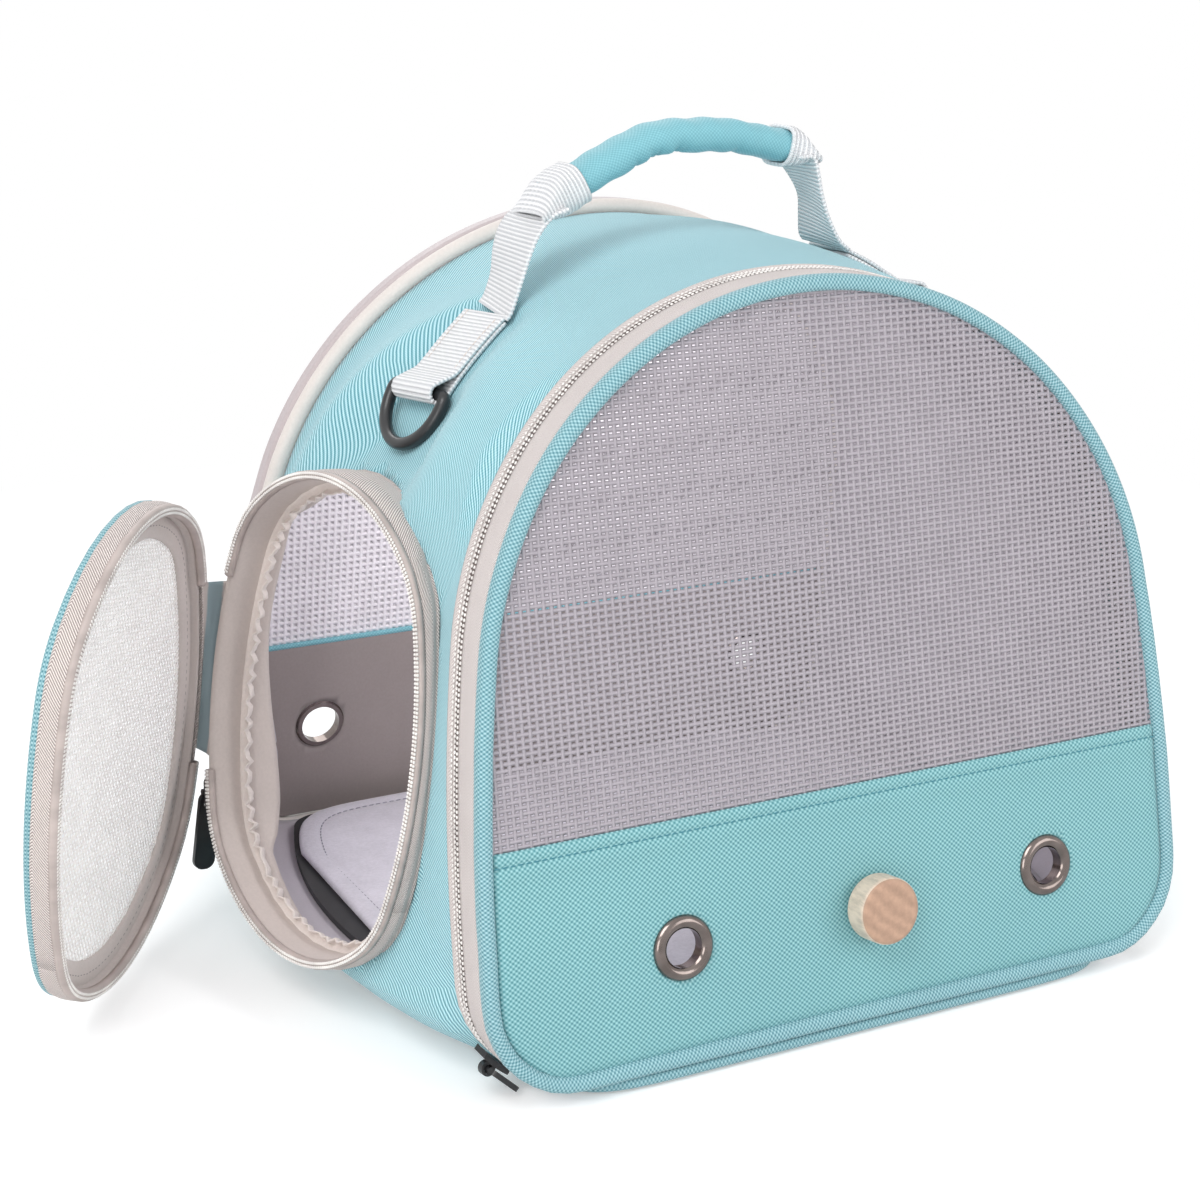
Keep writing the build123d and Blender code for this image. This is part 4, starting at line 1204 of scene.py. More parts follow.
for name, body, finish, stands_for, rows in (
        ("front_tape_sewn", "front_panel", beige_tape, "front_zip_tape",
         ((5.2, -2.4), (6.0, -2.2), (6.6, -0.5), (7.3, 0.05), (12, 0.35), (16.6, 0.1),
          (18.2, 0.1))),
        # The front zip base is painted dark: painted shade between its beads.
        ("front_zip_base", "front_panel", zip_gap_shade, "front_zip_coil",
         ((18.1, 0.0), (18.6, -0.1), (21.9, -0.2), (22.1, -0.6))),
        ("gusset_zip_base", "carrier", beige_tape, "gusset_zip_coil",
         ((22.4, -0.6), (22.6, -0.2), (25.0, -0.1), (25.4, 0.55), (26.4, 0.75), (27.2, 0.6)))):
    piece(strip(rows, zip_steps, zip_at, zip_run, inside_out=True), name, body, finish,
          stands_for, 0.7 * MM)

for name, body, depth, height in (("front_zip_ridge", "front_panel", 19.0, 0.15),
                                  ("front_zip_teeth", "front_panel", 20.9, 0.2),
                                  ("gusset_zip_teeth", "carrier", 23.5, 0.2)):
    places = bead_places(zip_steps, list(zip_run.values()), ZIP_PITCH,
                         [lambda u: front_frame(u, height * MM, depth * MM)[:2]])
    piece(scatter(zip_bead, places), name, body, coil_nylon)
print("zip length:", round(zip_length, 3), "m")

# %% [markdown]
# The eyelets, the washers and the stud are real metal parts and keep their solids; so do the
# wooden knob and the perch it carries.

# %% Metal, wood and plastic
keep(gun_metal, "front_eyelets", "back_eyelets")
keep(zinc_metal, "perch_washers", "perch_stud")
keep(knob_wood, "perch_knob")
keep(perch_wood, "perch")
keep(board_black, "base_board")
keep(black_plastic, "d_ring_left", "d_ring_right", "front_slider", "front_pull", "door_slider",
     "door_pull")
print("rigid pieces finished")

# %% [markdown]
# The back is closed like the front, without a zip: a band of cloth below, lined in taupe on
# the inside, and a closely woven window above. Its band carries two plain eyelets for air.

# %% Back panel
BACK_FACE = 3.0 * MM
REAR_EYELETS = ((-114.0 * MM, 51.0 * MM), (114.0 * MM, 51.0 * MM))
BACK_LEVELS = [3.8, 4.4, 6, 9, 13] + [18 + 4.2 * k for k in range(16)] + [
    84.5, 87.5, 90.0, 91.6, 92.5]
back_spans = band_spans(rear_arch, BACK_LEVELS, -3.4, (-124 * MM, 126 * MM))


def back_band(name, behind, finish, inside_out, slack):
    def place(share, v):
        x = across_band(back_spans, share, v)
        wave = slack * MM * drift(x * 11, v * 15, 5.0 + behind * 100)
        return rear_at((x, v), behind) + REAR_OUT * wave * bell(v, 48 * MM, 46 * MM)

    bm = sheet_mesh(BAND_COLUMNS, list(back_spans), place, lambda share, v: (share * 0.3, v),
                    inside_out=inside_out)
    for spot in REAR_EYELETS:
        cut_round(bm, rear_at(spot, behind), REAR_OUT, 10.6 * MM)
    piece(bm, name, "carrier", finish, "back_lower_band", 1.0 * MM)


back_band("back_band_inside", BACK_FACE + 0.1 * MM, taupe_cloth, False, 0.6)
back_band("back_band_outside", BACK_FACE + 2.9 * MM, teal_cloth, True, 0.3)
hem_stations = [(rear_at(((3 * k - 150) * MM, BAND_TOP), BACK_FACE + 1.5 * MM), Y,
                 Vector((0, -sin(LEAN), cos(LEAN)))) for k in range(101)]
piece(tube_mesh(hem_stations, rounded(3.6 * MM, 2.6 * MM, 1.1 * MM, 2), closed=False),
      "back_band_hem", "carrier", teal_soft)
# The back window's yarn is painted nearly white: painted light that shines through it from behind.
woven_window("back_window_woven", "carrier", backlit_yarn, "back_window_mesh", rear_arch,
             -2.6 * MM, BAND_TOP - 2.0 * MM, lambda p: rear_at(p, BACK_FACE + 1.6 * MM),
             REAR_OUT, (3.2, 3.0), (2.96, 2.82), 0.02 * MM,
             lambda x, v: slack_at(x, v) * 2.2 * MM * drift(x * 8, v * 9, 17.7))

# %% [markdown]
# The rear seam has two soft pipings side by side: a cream one against the gusset and a rose
# beige one behind it, which is folded over itself and so shows a groove. Both are stuffed
# tubes that follow the rear arch, a little uneven where the cloth was gathered.

# %% Rear piping
rear_steps = rear_arch.steps((10, 36, 130, 36, 10, 30))
seam_tube("cream_piping_sewn", "carrier", rear_frame, rear_steps, 1.5, 4.5,
          circle(14, 4.3 * MM), cream_cloth, "back_piping", 0.35, 16, 1.5, slot="cream_piping")
folded = []
for angle in [2 * pi * k / 22 for k in range(22)]:
    groove = bell(angle, 0.0, 0.75) + bell(angle, 2 * pi, 0.75)
    folded.append(((4.5 - groove) * MM * cos(angle), 5.0 * MM * sin(angle)))
seam_tube("rose_piping_sewn", "carrier", rear_frame, rear_steps, 1.5, 14.0, folded, pink_cloth,
          "back_binding", 0.3, 16, 1.5)

# %% [markdown]
# The floor is a board with black edges and a felt mat on top. The mat's rim is turned and
# stitched, so the felt is a little thinner along the stitches.

# %% Floor mat
MAT_HALVES = (116.5 * MM, 150.5 * MM, 126.5 * MM)
MAT_POWER = 0.14
OFF_CORNER = 1e-4  # a hair of a turn, so that both ends of the outline meet
STITCH_SHARE = 0.928
MAT_ROWS = [(0.02, 0), (0.25, 0), (0.5, 0), (0.7, 0), (0.84, 0), (0.90, 0), (0.918, -0.3),
            (STITCH_SHARE, -0.75), (0.938, -0.3), (0.955, 0), (0.978, -0.05), (0.992, -0.5),
            (1.0, -1.5), (1.0, -2.9), (0.992, -3.7), (0.975, -3.9), (0.5, -3.9), (0.02, -3.9)]
mat_low, mat_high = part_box("floor_mat")


def mat_at(turn, share):
    """A point of the mat: turn goes round, share from the middle to the edge."""
    angle = 2 * pi * (turn + OFF_CORNER)
    along = 0.5 + 0.5 * signed_power(sin(angle), MAT_POWER) * share
    half = through_three(along, *MAT_HALVES)
    return Vector((signed_power(cos(angle), MAT_POWER) * share * half,
                   mat_low.y + (mat_high.y - mat_low.y) * along, 0))


def mat_place(turn, share, drop):
    point = mat_at(turn, share)
    lump = 0.35 * drift(*(point * 22)) if drop > -1 and share < 0.9 else 0.0
    return point + Z * (mat_high.z + (drop + lump - 0.35) * MM)


mat_mesh = sheet_mesh([k / 144 for k in range(145)], len(MAT_ROWS) - 1,
                      lambda turn, row: mat_place(turn, *MAT_ROWS[row]),
                      lambda turn, row: mat_at(turn, MAT_ROWS[row][0])[:2], capped=True)
mat = piece(mat_mesh, "floor_mat_sewn", "mat", mat_felt, "floor_mat")
mat_line = [mat_at(k / 400, STITCH_SHARE) + Z * (mat_high.z - 0.85 * MM) for k in range(401)]
piece(scatter(stitch_bead, stitch_row(mat_line, [Z] * len(mat_line), 3.4 * MM)),
      "mat_stitches", "mat", mat_thread)

# %% [markdown]
# The doorway is a collar: a lined sleeve of beige cloth that stands out of the wall and ends
# in the zip. Its outside is herringbone tape that curves into the cloth at its foot. To find
# where it meets the wall, a ray is sent inwards from each point of the rim.

# %% Door collar
RIM_TOP = -3.8 * MM
RAY_START, RAY_LENGTH = 20 * MM, 70 * MM
EVENED_OVER = 4
COLLAR_ROWS = 12


def foot_depths(out):
    """How far below the rim the gusset's skin lies at each step, evened along the oval."""
    found = []
    for u in door_steps:
        start = rim_at(door.at(u, out)[0], RAY_START)
        hit, *_, distance = gusset_tree.ray_cast(start, -DOOR_OUT, RAY_LENGTH)
        found.append(None if hit is None else RAY_START - distance)
    known = [d for d in found if d is not None]
    filled = [d if d is not None else sum(known) / len(known) for d in found]
    span = range(-EVENED_OVER, EVENED_OVER + 1)
    return {u: sum(filled[(i + k) % (len(filled) - 1)] for k in span) / len(span)
            for i, u in enumerate(door_steps)}


foot_depth = foot_depths(3.2 * MM)
print("collar stands out by", round(-min(foot_depth.values()) / MM, 1), "to",
      round(-max(foot_depth.values()) / MM, 1), "mm")


def oval_at(u, out, lift, at=rim_at):
    """A point of the door's oval, moved outwards and lifted, on the rim or on the leaf."""
    return at(door.at(u, out)[0], lift)


def oval_frame(u, out, lift, at=rim_at):
    """Origin, outward direction and lift direction on the door's oval."""
    point, outward = door.at(u, out)
    origin = at(point, lift)
    return origin, (at(point + outward * 0.01, lift) - origin).normalized(), (
        at(point, lift + 0.01) - origin).normalized()


def round_door(name, body, finish, rows, place, row_width, stands_for, wall, run=door_run,
               inside_out=False):
    """A closed strip round the door; place takes (u, share of the rows)."""
    bm = sheet_mesh(list(run), rows, lambda u, row: place(u, row / rows),
                    lambda u, row: (row * row_width * MM, run[u]), welded=True,
                    inside_out=inside_out)
    return piece(bm, name, body, finish, stands_for, wall * MM)


def collar_place(u, share):
    """Rows run from the zip down the outside and turn out over the cloth at the foot."""
    depth = min(foot_depth[u], RIM_TOP - 2.5 * MM)
    lift = RIM_TOP + (depth + 0.7 * MM - RIM_TOP) * min(1.0, share * 1.12)
    free = smooth((door.at(u)[0].x + DOOR_HALF_WIDTH * MM) / (30 * MM))
    flare = 0.9 * max(0.0, (share - 0.80) / 0.20) ** 2
    bow = 1.2 * sin(pi * min(1.0, share * 1.1))
    wave = 0.25 * drift(u * 4, share * 3, 9.1)
    turn_in = 0.5 * MM * max(0.0, (share - 0.93) / 0.07)
    return oval_at(u, (1.5 + free * (flare + bow + wave)) * MM, lift - turn_in)


round_door("collar_tape_sewn", "carrier", door_tape, COLLAR_ROWS, collar_place, 1.0,
           "door_collar_tape", 0.8, inside_out=True)

# %% [markdown]
# Inside, the collar is faced with smooth beige cloth that rolls over the rim beside the zip
# and runs back into the cabin, where an elastic gathers it. The gathers are sharp little
# folds that die out away from the elastic.

# %% Collar facing and gathered frill
FACING_TOP = RIM_TOP + 1.6 * MM
FACING_ROWS = 12
FRILL_ROWS = 8
FRILL_DEEPEST = -15.0 * MM


def facing_place(u, share):
    inner = min(foot_depth[u], RIM_TOP - 4 * MM) - 3.2 * MM
    roll = 1.2 * (1 - min(1.0, share * 6)) ** 2
    return oval_at(u, (-1.5 + roll - 1.3 * share) * MM, FACING_TOP + (inner - FACING_TOP) * share)


round_door("collar_facing", "carrier", collar_cloth, FACING_ROWS, facing_place, 1.5,
           "door_collar", 0.7)
frill_run = door.lengths(door.steps((64, 44, 36, 44, 64, 44, 36, 44)))


def depth_at(u):
    """The wall's depth anywhere on the oval, between the steps already measured."""
    index = min(sum(1 for s in door_steps if s <= u) - 1, len(door_steps) - 2)
    a, b = door_steps[index], door_steps[index + 1]
    share = (u - a) / (b - a)
    return foot_depth[a] * (1 - share) + foot_depth[b] * share


def frill_place(u, share):
    depth = max(min(depth_at(u), RIM_TOP - 4 * MM), FRILL_DEEPEST)
    run = frill_run[u]
    gather = sin(2 * pi * run / (7.3 * MM) + 2.2 * drift(run * 60, 0, 0))
    gather += 0.5 * sin(2 * pi * run / (4.1 * MM) + 1.0)
    grow = share ** 0.7 * (1 - 0.25 * max(0.0, share - 0.85) / 0.15)
    amount = 1.1 * gather * grow
    inwards = 2.2 + 4.4 * share ** 0.8 - amount * 0.7
    sag = 0.6 + 2.8 * sin(pi * share) - amount * 0.9
    return oval_at(u, -inwards * MM, depth - sag * MM)


frill = round_door("frill_gathered", "carrier", frill_cloth, FRILL_ROWS, frill_place, 1.2,
                   "door_frill", 0.6, frill_run)

# %% [markdown]
# The door's zip shows its coil: two rows of bright beads side by side on a beige tape. The
# half on the rim and the half on the leaf are the same, one on each body. The zip stops on
# both sides of the cloth hinge.

# %% Door zip
HINGE_HALF = 40.5 * MM
COIL_PITCH = 1.5 * MM


def at_hinge(u):
    point = door.at(u)[0]
    return point.x < -60 * MM and abs(point.y) < HINGE_HALF


turned_steps = door.steps((24, 16, 14, 16, 60, 16, 14, 16))[:-1]
hidden = [i for i, u in enumerate(turned_steps) if at_hinge(u)]
zip_line = turned_steps[hidden[-1] + 1:] + [u + 8 for u in turned_steps[:hidden[0]]]
door_bead = bead("door zip bead", 1.1 * MM, 1.15 * MM, 0.8 * MM)


def door_zip(prefix, body, at, low, high, stands_for):
    """Base tape and two rows of beads along the open oval."""
    runs = around([oval_at(u, 0.0, low, at) for u in zip_line])
    run_of = dict(zip(zip_line, runs))
    rows = ((1.9, 0.0), (1.9, 0.6), (1.1, 1.0), (0.0, 1.0), (-1.2, 1.0), (-1.9, 0.6), (-1.9, 0.0))

    def place(u, row):
        out, share = rows[row]
        return oval_at(u, out * MM, low + (high - low) * share * 0.72, at)

    bm = sheet_mesh(zip_line, len(rows) - 1, place, lambda u, row: (row * 0.9 * MM, run_of[u]))
    face_out(bm)
    piece(bm, prefix + "_zip_tape", body, door_nylon, stands_for, 0.5 * MM)
    ridge = low + (high - low) * 0.82
    places = bead_places(zip_line, runs, COIL_PITCH, [
        lambda u: oval_frame(u, 0.75 * MM, ridge, at)[::2],
        lambda u: oval_frame(u, -0.75 * MM, ridge, at)[::2]])
    piece(scatter(door_bead, places), prefix + "_zip_beads", body, coil_nylon)


door_zip("rim", "carrier", rim_at, RIM_TOP, -0.3 * MM, "door_collar_coil")
door_zip("leaf", "side_door", leaf_at, 3.8 * MM, 0.3 * MM, "leaf_coil")

# %% [markdown]
# The leaf is a shallow dish: a herringbone side wall, a bound frame, a window of fine white
# mesh and teal piping round its outer edge. All of it is drawn closed on the rim and turned
# open about the hinge, as the real one is sewn.

# %% Door leaf
leaf_run = dict(zip(door_steps, around([oval_at(u, 0.0, 0.0, leaf_at) for u in door_steps])))


def leaf_ring(name, rows, finish, wall, stands_for=None, inside_out=False):
    """A strip round the leaf: rows are (outset, lift) in millimetres."""
    widths = around([Vector(row) for row in rows])

    def place(u, row):
        out, lift = rows[row]
        ripple = 0.18 * drift(u * 5, row * 0.4, 3.3)
        return oval_at(u, (out + ripple) * MM, lift * MM, leaf_at)

    bm = sheet_mesh(door_steps, len(rows) - 1, place,
                    lambda u, row: (widths[row] * MM, leaf_run[u]), welded=True,
                    inside_out=inside_out)
    piece(bm, name, "side_door", finish, stands_for, wall * MM)


leaf_ring("leaf_tape_sewn", ((1.5, 3.4), (1.8, 4.2), (1.9, 6.0), (1.9, 8.2), (1.6, 10.0),
                             (0.9, 10.8)), door_tape, 0.8, "leaf_tape", inside_out=True)
leaf_ring("leaf_lining", ((-1.4, 3.6), (-1.5, 5.0), (-1.6, 7.0), (-2.6, 7.6)), trim_cloth, 0.5)
leaf_ring("leaf_frame_sewn", ((-1.0, 7.7), (-3.0, 7.3), (-8.0, 7.2), (-10.4, 7.4), (-11.3, 8.2),
                              (-11.4, 9.3), (-10.4, 10.1), (-8.0, 10.4), (-3.0, 10.4),
                              (0.6, 10.5)), trim_cloth, 0.4, "leaf_frame")
piece(tube_mesh([oval_frame(u, 0.4 * MM, 11.7 * MM, leaf_at) for u in door_steps[:-1]],
                circle(10, 1.9 * MM)),
      "leaf_piping_sewn", "side_door", teal_rib, "leaf_piping")
stitch_frames = [oval_frame(u, -6.5 * MM, 7.0 * MM, leaf_at) for u in door_steps]
piece(scatter(stitch_bead, stitch_row([spot for spot, across, up in stitch_frames],
                                      [-up for spot, across, up in stitch_frames], 3.3 * MM)),
      "leaf_stitches", "side_door", trim_thread)


def leaf_belly(point):
    edge = bell(point[0], 0, 62 * MM) * bell(point[1], 0, 80 * MM)
    return edge * (1.4 + 1.6 * drift(point[0] * 14, point[1] * 9, 3)) * MM


def slanted(pitch, width, angle, stagger):
    """One set of the leaf window's strands, at an angle to the upright."""
    bm = empty_mesh()
    along = Vector((sin(angle), cos(angle)))
    across = Vector((cos(angle), -sin(angle)))
    reach = 100 * MM
    ring = door.ring(24, -10.5 * MM)
    side = (leaf_at(across * 0.01) - leaf_at((0, 0))).normalized()
    out = (leaf_at((0, 0), 0.01) - leaf_at((0, 0))).normalized()
    for k in range(int(2 * reach / pitch)):
        offset = -reach + (k + 0.5) * pitch
        hits = [p.dot(along) for p in crossings(ring, lambda p: p.dot(across) - offset)]
        if len(hits) < 2:
            continue
        low, high = min(hits), max(hits)
        count = max(2, int((high - low) / (stagger * 2)))
        line = []
        for i in range(count + 1):
            flat = across * offset + along * (low + (high - low) * i / count)
            over = 0.12 * MM if (i + k) % 2 else -0.12 * MM
            line.append(leaf_at(flat, 8.7 * MM + over + leaf_belly(flat)))
        add_strand(bm, line, side, out, width, 0.35 * MM)
    return bm


piece(slanted(2.0 * MM, 1.5 * MM, radians(-68), 2.2 * MM), "leaf_window_slanted", "side_door",
      leaf_yarn, "leaf_window")
piece(slanted(2.2 * MM, 1.0 * MM, radians(22), 2.0 * MM), "leaf_window_upright", "side_door",
      leaf_yarn)

# %% [markdown]
# A strip of cloth is the hinge. It runs from the outside of the collar to the outside of the
# leaf, bound in beige along both sides with a grey teal middle. It is drawn between the
# collar and the open leaf, and rides on no body.

# %% Cloth hinge
HINGE_REACH = 6.3 * MM
HINGE_WIDTH, HINGE_LENGTH = 14, 75
bound_cloth = Finish("bound hinge cloth", roughness=0.75, sheen=0.2)
fine_grain = bound_cloth.noise(0.0012)
bound_tone = bound_cloth.scaled(bound_cloth.cloth_xy()[0], 1 / (HINGE_WIDTH * MM),
                                bound_cloth.scaled(fine_grain, 0.05))
hinge_beige, hinge_teal = srgb(200, 189, 184), srgb(146, 164, 170)
hinge_finish = bound_cloth.done(
    bound_cloth.ramp(bound_tone, (0.20, hinge_beige), (0.26, hinge_teal), (0.70, hinge_teal),
                     (0.76, hinge_beige)), fine_grain, 0.08 * MM, 0.6)


def hinge_edges(b):
    """The edge on the collar and the edge on the leaf, b mm above the door's middle."""
    return rim_at((-76.9 * MM, b * MM), -HINGE_REACH), leaf_at((-78.3 * MM, b * MM), HINGE_REACH)


def hinge_place(t, b):
    near, far = hinge_edges(b)
    out = (far - near).cross(DOOR_UP).normalized()
    ripple = drift(t * 2.0, b * 0.09, 6.0)
    rolled = bell(t, 0.1, 0.13) + bell(t, 0.9, 0.13)
    return near.lerp(far, t) - out * (0.5 * MM * (ripple + rolled))


hinge_mesh = sheet_mesh([k / 12 for k in range(13)],
                        [HINGE_LENGTH * (k / 40 - 0.5) for k in range(41)], hinge_place,
                        lambda t, b: (t * HINGE_WIDTH * MM, b * MM))
hinge = piece(hinge_mesh, "hinge_cloth_bound", None, hinge_finish, "door_hinge_strip", 0.9 * MM,
              0.0, "beige_tape")
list(hinge_edges(0))
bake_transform(hinge)

# %% [markdown]
# The handle hangs on one length of ribbed webbing each side. Below, it lies on the cloth,
# turns round the bar of a D-ring and comes back under itself. So the mesh is one ribbon
# along that route, drawn through the middle of the cloth and given its thickness by a
# modifier. Every rib is modelled, with four rows of faces to a rib, because webbing shows
# its ribs in outline.

# %% Webbing sewn on the cloth
CROWN = Vector((7.0, 0.0, 139.5)) * MM
CROWN_RADIUS = 150.0 * MM
STRAP_Y = 9.0 * MM
WEB_HALF = 16.0 * MM
WEB_THICK = 1.45 * MM
RIB = 1.7 * MM
RIB_DEEP, RIB_WIDE = 0.10 * MM, 0.22 * MM
SELVEDGE = 0.95
SKEW = radians(6.0)
SEWN = CROWN_RADIUS * radians(15.0)
WEB_COLUMNS = [-1.0, -SELVEDGE, -0.75, -0.4, 0.0, 0.4, 0.75, SELVEDGE, 1.0]


def crown_at(side, slope, y, above):
    """A point over the round top: side 1 is left, slope is the distance from the middle."""
    angle = slope / CROWN_RADIUS
    reach = CROWN_RADIUS + above
    return Vector((CROWN.x - side * reach * sin(angle), y, CROWN.z + reach * cos(angle)))


def resample(points, spacing):
    """A smooth line through the points, cut into equal steps."""
    dense = []
    ends = [points[0] * 2 - points[1]] + list(points) + [points[-1] * 2 - points[-2]]
    for p0, p1, p2, p3 in zip(ends, ends[1:], ends[2:], ends[3:]):
        for t in [k / 24 for k in range(24)]:
            dense.append(0.5 * (2 * p1 + (p2 - p0) * t + (2 * p0 - 5 * p1 + 4 * p2 - p3) * t * t
                                + (3 * p1 - p0 - 3 * p2 + p3) * t ** 3))
    dense.append(points[-1])
    runs = around(dense)
    count = max(2, round(runs[-1] / spacing))
    line, i = [], 0
    for k in range(count + 1):
        target = runs[-1] * k / count
        while i < len(runs) - 2 and runs[i + 1] < target:
            i += 1
        share = (target - runs[i]) / max(runs[i + 1] - runs[i], 1e-9)
        line.append(dense[i].lerp(dense[i + 1], share))
    return line


def rib(run):
    return cos(2 * pi * run / RIB)


def ribs_at(x, run):
    """A rib's part in the ribbon's half width, and in its height."""
    edge = max(0.0, abs(x) - SELVEDGE) / 0.05
    return x * (WEB_HALF + RIB_WIDE * rib(run) * edge), RIB_DEEP * rib(run) * (1 - edge)


def webbing(name, body, runs, place, stands_for):
    """A ribbed ribbon; place takes (share of the half width, step along it)."""
    bm = sheet_mesh(WEB_COLUMNS, len(runs) - 1, place, lambda x, k: (x * WEB_HALF, runs[k]))
    print(name, "is", round(runs[-1] / MM), "mm long")
    return piece(bm, name, body, white_webbing, stands_for, WEB_THICK, 0.0)


def sewn_route():
    """(slope, height) down the cloth, round the ring's bar and back below."""
    down = [Vector(p) * MM for p in ((0, 4.3), (8, 4.2), (16, 4.2), (24, 4.3), (30, 5.0),
                                     (34.5, 7.6), (38, 9.8))]
    turn = [Vector((SEWN, 6.3 * MM)) + Vector((cos(a), sin(a))) * 3.8 * MM
            for a in (radians(90 - 30 * k) for k in range(7))]
    back = [Vector((s, 2.4)) * MM for s in (33, 26, 18, 10, 2)]
    return resample(down + turn + back, RIB / 4)


route = sewn_route()
route_runs = around(route)
for side, start, name in ((1, 37.0, "left"), (-1, 25.0, "right")):
    first = CROWN_RADIUS * radians(start)

    def sewn_place(x, k):
        slope, above = route[k]
        run = route_runs[k]
        across, lift = ribs_at(x, run)
        lift += 0.35 * MM * drift(run * 45, x * 1.2, side)
        y = STRAP_Y + (SEWN / 2 - slope) * sin(SKEW) + across * cos(SKEW)
        return crown_at(side, first + slope + across * sin(SKEW), y, above + lift)

    sewn = webbing("webbing_sewn_" + name, "carrier", route_runs, sewn_place, "anchor_" + name)
    marks = []
    for edge in (-12.6 * MM, 12.6 * MM):
        line = []
        for slope in [(1.5 + 2.2 * k) * MM for k in range(13)]:
            y = STRAP_Y + (SEWN / 2 - slope) * sin(SKEW) + edge
            line.append(crown_at(side, first + slope, y, 5.1 * MM))
        out = line[6] - Vector((CROWN.x, line[6].y, CROWN.z))
        marks += stitch_row(line, [out] * len(line), 2.9 * MM)
    piece(scatter(stitch_bead, marks), "webbing_stitches_" + name, "carrier", cream_cloth)

# %% [markdown]
# From the sewn end each strap rises free to the end of the grip. It has a twist in it, so
# its two edges take different lines: each is a smooth curve through a few points, and the
# ribbon runs between them. The strap rides on no body and stays where it is drawn.

# %% Free straps
NEAR_EDGE, FAR_EDGE = -7.0, 25.0


def two_edges(near, far):
    """Both edges as smooth lines with the same number of steps."""
    near = [Vector((x, NEAR_EDGE, z)) * MM for x, z in near]
    far = [Vector((x, FAR_EDGE, z)) * MM for x, z in far]
    length = (around(near)[-1] + around(far)[-1]) / 2
    near, far = resample(near, 0.1 * MM), resample(far, 0.1 * MM)
    count = round(length / (RIB / 4))
    return [(near[round(k * (len(near) - 1) / count)], far[round(k * (len(far) - 1) / count)])
            for k in range(count + 1)]


def strap(side, near, far):
    route = two_edges(near, far)
    middles = [(a + b) / 2 for a, b in route]
    runs = around(middles)
    last = len(route) - 1

    def place(x, k):
        along = (middles[min(k + 1, last)] - middles[max(k - 1, 0)]).normalized()
        across = (route[k][1] - route[k][0]).normalized()
        reach, lift = ribs_at(x, runs[k])
        cup = 0.8 * MM * (1 - x * x) * sin(pi * k / last)
        return middles[k] + across * reach + along.cross(across) * (lift + cup)

    made = webbing("strap_" + side + "_ribbed", None, runs, place, "strap_" + side)
    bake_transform(made)


strap("left", [(-58.5, 303.5), (-65.5, 301.0), (-71.5, 294.5), (-75.6, 286.3), (-79.8, 275.0),
               (-83.4, 265.5), (-85.6, 262.4)],
      [(-60.0, 301.5), (-68.0, 299.6), (-73.0, 294.2), (-75.6, 286.5), (-76.9, 276.0),
       (-80.0, 267.5), (-82.3, 264.6)])
strap("right", [(47.5, 318.6), (52.8, 318.2), (55.2, 311.5), (57.2, 303.1), (60.6, 294.0),
                (66.0, 284.5), (71.6, 279.8)],
      [(49.0, 315.0), (55.4, 314.3), (61.8, 307.5), (66.0, 300.0), (66.8, 291.0),
       (67.3, 284.0), (69.0, 281.0)])

# %% [markdown]
# The grip is foam in a cloth sleeve. Where it bends, the cloth on the inside of the bend has
# more length than it needs and pinches into creases. Each crease is a narrow dip that only
# works on the lower half and runs a little askew.

# %% Padded grip
GRIP_POINTS = ((-60.5, 306.1), (-41, 315.5), (-24, 323.4), (-11, 327.4), (4, 327.9), (22, 327.1),
               (38, 323.9), (50.0, 321.4))
PINCHES = ((36.0, 1.3, 0.9), (43.5, 2.1, 1.5), (47.0, 1.7, 1.0), (56.5, 2.3, 1.6),
           (60.0, 1.4, 1.0), (85.0, 0.7, 1.6))
GIRTH_CELLS = 40
grip_route = resample([Vector(point) * MM for point in GRIP_POINTS], 1.1 * MM)
grip_runs = around(grip_route)


def grip_place(k, j):
    here = grip_route[k]
    along = (grip_route[min(k + 1, len(grip_route) - 1)] - grip_route[max(k - 1, 0)]).normalized()
    angle = 2 * pi * j / GIRTH_CELLS
    side, top = cos(angle), sin(angle)
    run = grip_runs[k] / MM
    askew = 2.6 * (0.5 - 0.5 * side)
    dip = sum(depth * exp(-((run - at - askew) / width) ** 2) for at, depth, width in PINCHES)
    puff = 0.5 * sin(run * 0.5 + 2.0 * top) + drift(run * 0.07, side * 0.9, top * 0.9)
    grow = 0.45 * puff - dip * max(0.0, -top) ** 0.7
    seam = 0.5 * exp(-((angle - 1.5 * pi) / 0.09) ** 2)
    wide = signed_power(side, 0.82) * (10.6 + grow * 0.6) * MM
    tall = signed_power(top, 0.86) * (6.6 + grow - seam) * MM
    return Vector((here.x, STRAP_Y, here.y)) + Y * wide + Vector((-along.y, 0, along.x)) * tall


grip = piece(sheet_mesh(len(grip_route) - 1, GIRTH_CELLS, grip_place,
                        lambda k, j: (j * 1.36 * MM, grip_runs[k]), capped=True),
             "grip_padded", "handle", teal_soft, "handle_grip")

# %% [markdown]
# Webbing is folded round each end of the grip. Over the padding it is a sleeve; past the end
# of the padding it goes flat, sinks towards the strap and leaves a dark slit, like the mouth
# of an envelope.

# %% Webbing round the ends of the grip
WRAP_CELLS = 44
WRAP_STEPS = 5


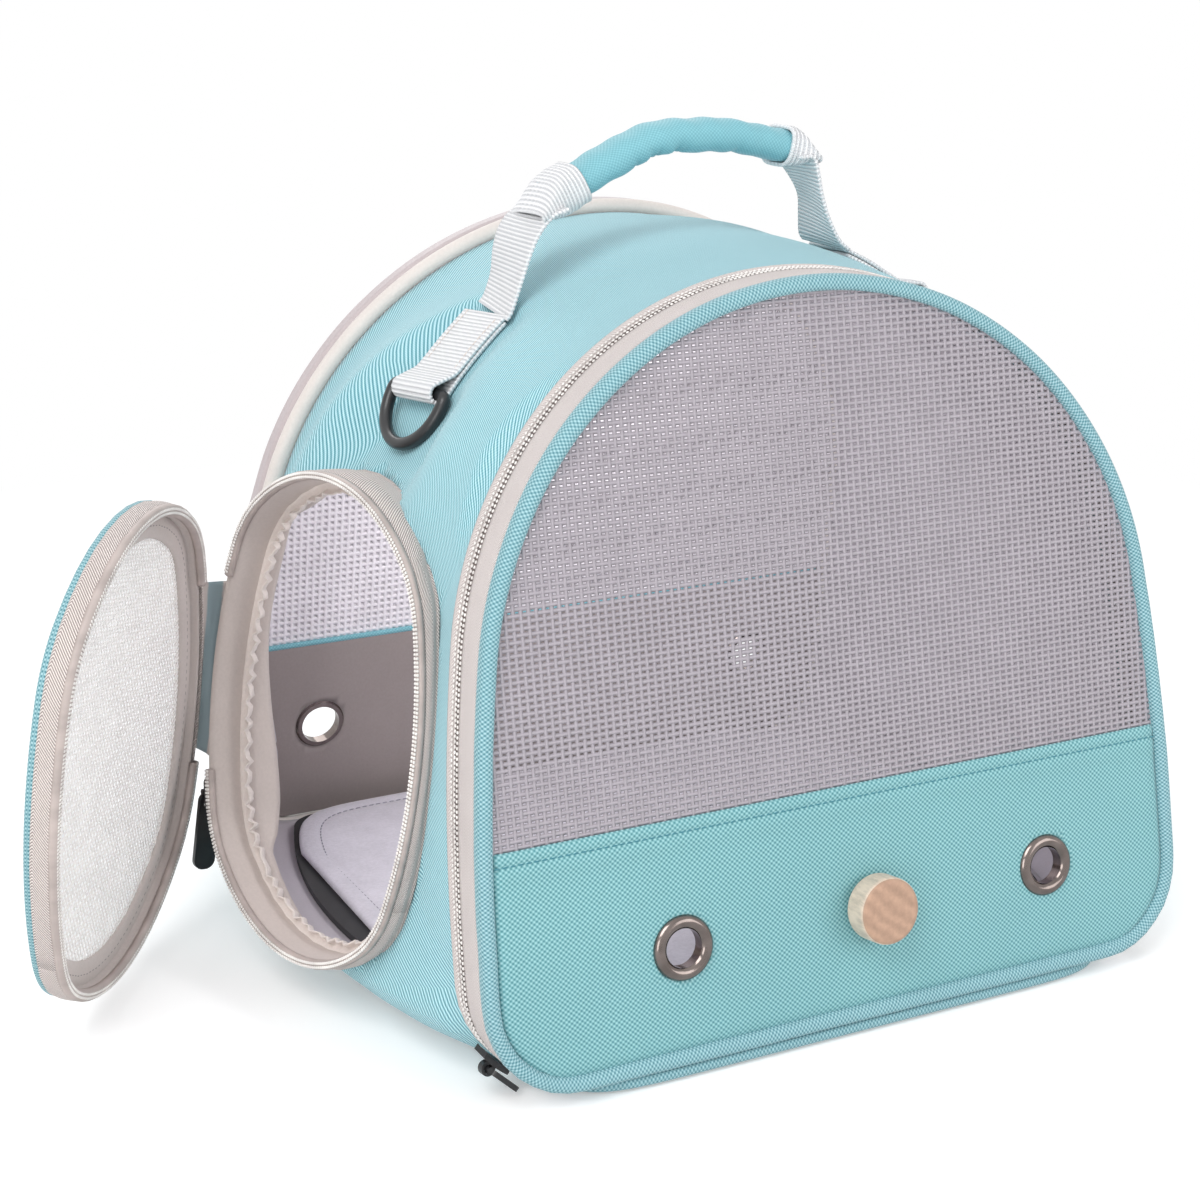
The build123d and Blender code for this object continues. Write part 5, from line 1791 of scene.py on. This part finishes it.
def wrap(name, end, towards, stations, stands_for=None):
    """Stations are (distance in from the end, half width, half height, sink, tilt) in mm."""
    along = (Vector(towards) - Vector(end)).normalized()
    up = Vector((-along.y, along.x)) * (1 if along.x > 0 else -1)
    rows = [[p + (q - p) * i / WRAP_STEPS for p, q in zip(a, b)]
            for a, b in zip(stations, stations[1:]) for i in range(WRAP_STEPS)]
    rows.append(stations[-1])
    runs = around([Vector((row[0] * MM, 0)) for row in rows])

    def place(i, j):
        inward, half_width, half_height, sink, tilt = rows[i]
        angle = 2 * pi * j / WRAP_CELLS
        flat, tall = signed_power(cos(angle), 0.55), signed_power(sin(angle), 0.75)
        ripple = 0.12 * rib(runs[i]) + 0.5 * drift(inward * 0.11, angle, 2.0)
        z_off = tall * (half_height + ripple) + flat * tilt - sink
        here = (Vector(end) + along * inward + up * z_off) * MM
        return Vector((here.x, STRAP_Y + flat * (half_width + ripple) * MM, here.y))

    bm = sheet_mesh(len(rows) - 1, WRAP_CELLS, place, lambda i, j: (j * 1.5 * MM, runs[i]),
                    welded=True)
    face_out(bm)
    piece(bm, name, "handle", white_webbing, stands_for, 1.5 * MM)


wrap("wrap_left_folded", (-67.0, 303.0), (-15.0, 328.0),
     [(20.5, 11.9, 8.4, 0.0, 0.0), (14.0, 12.1, 8.6, 0.0, 0.0), (8.0, 13.2, 7.8, 0.4, -0.3),
      (3.0, 15.0, 5.6, 1.3, -0.8), (-0.5, 16.2, 3.8, 2.0, -1.2), (-3.5, 16.6, 2.9, 2.6, -1.6)],
     "handle_wraps")
wrap("wrap_right_folded", (52.0, 321.0), (20.0, 327.5),
     [(7.0, 11.9, 8.5, 0.0, 0.0), (4.0, 12.2, 8.4, 0.0, 0.0), (1.0, 13.6, 7.2, 0.6, -0.4),
      (-1.5, 15.2, 4.6, 1.6, -0.9), (-3.8, 16.3, 2.6, 3.0, -1.4), (-5.0, 16.4, 2.2, 3.8, -1.6)])

# %% [markdown]
# For each cloth panel the rectangle that it is cut from is printed, with its area, since none
# of them keeps the whole rectangle: the gusset and its lining lose the doorway, and the bands
# follow the foot of the arch.

# %% Cut sizes of the cloth panels
CUT_SIZES = (("gusset_cloth_sewn", gusset_depth, arch_length, "stretched"),
             ("lining_sewn", gusset_depth, arch_length, "stretched"),
             ("front_band_sewn", 0.085, 0.312, "stretched"),
             ("back_band_inside", 0.092, 0.302, "stretched"),
             ("back_band_outside", 0.092, 0.302, "stretched"),
             ("collar_facing", 0.014, oval_length, "stretched"),
             ("collar_tape_sewn", 0.012, oval_length, "stretched"),
             ("leaf_tape_sewn", 0.0105, oval_length, "stretched"),
             ("wrap_left_folded", 0.026, 0.09, "folded"),
             ("wrap_right_folded", 0.014, 0.09, "folded"))
for name, across, along, held in CUT_SIZES:
    panel = bpy.data.objects[name]
    cut_area = sum(face.area for face in panel.data.polygons)
    across = max(across, 1.002 * cut_area / along)
    print(f"{name}: {across / MM:.0f} x {along / MM:.0f} mm, {cut_area * 1e4:.0f} cm2")
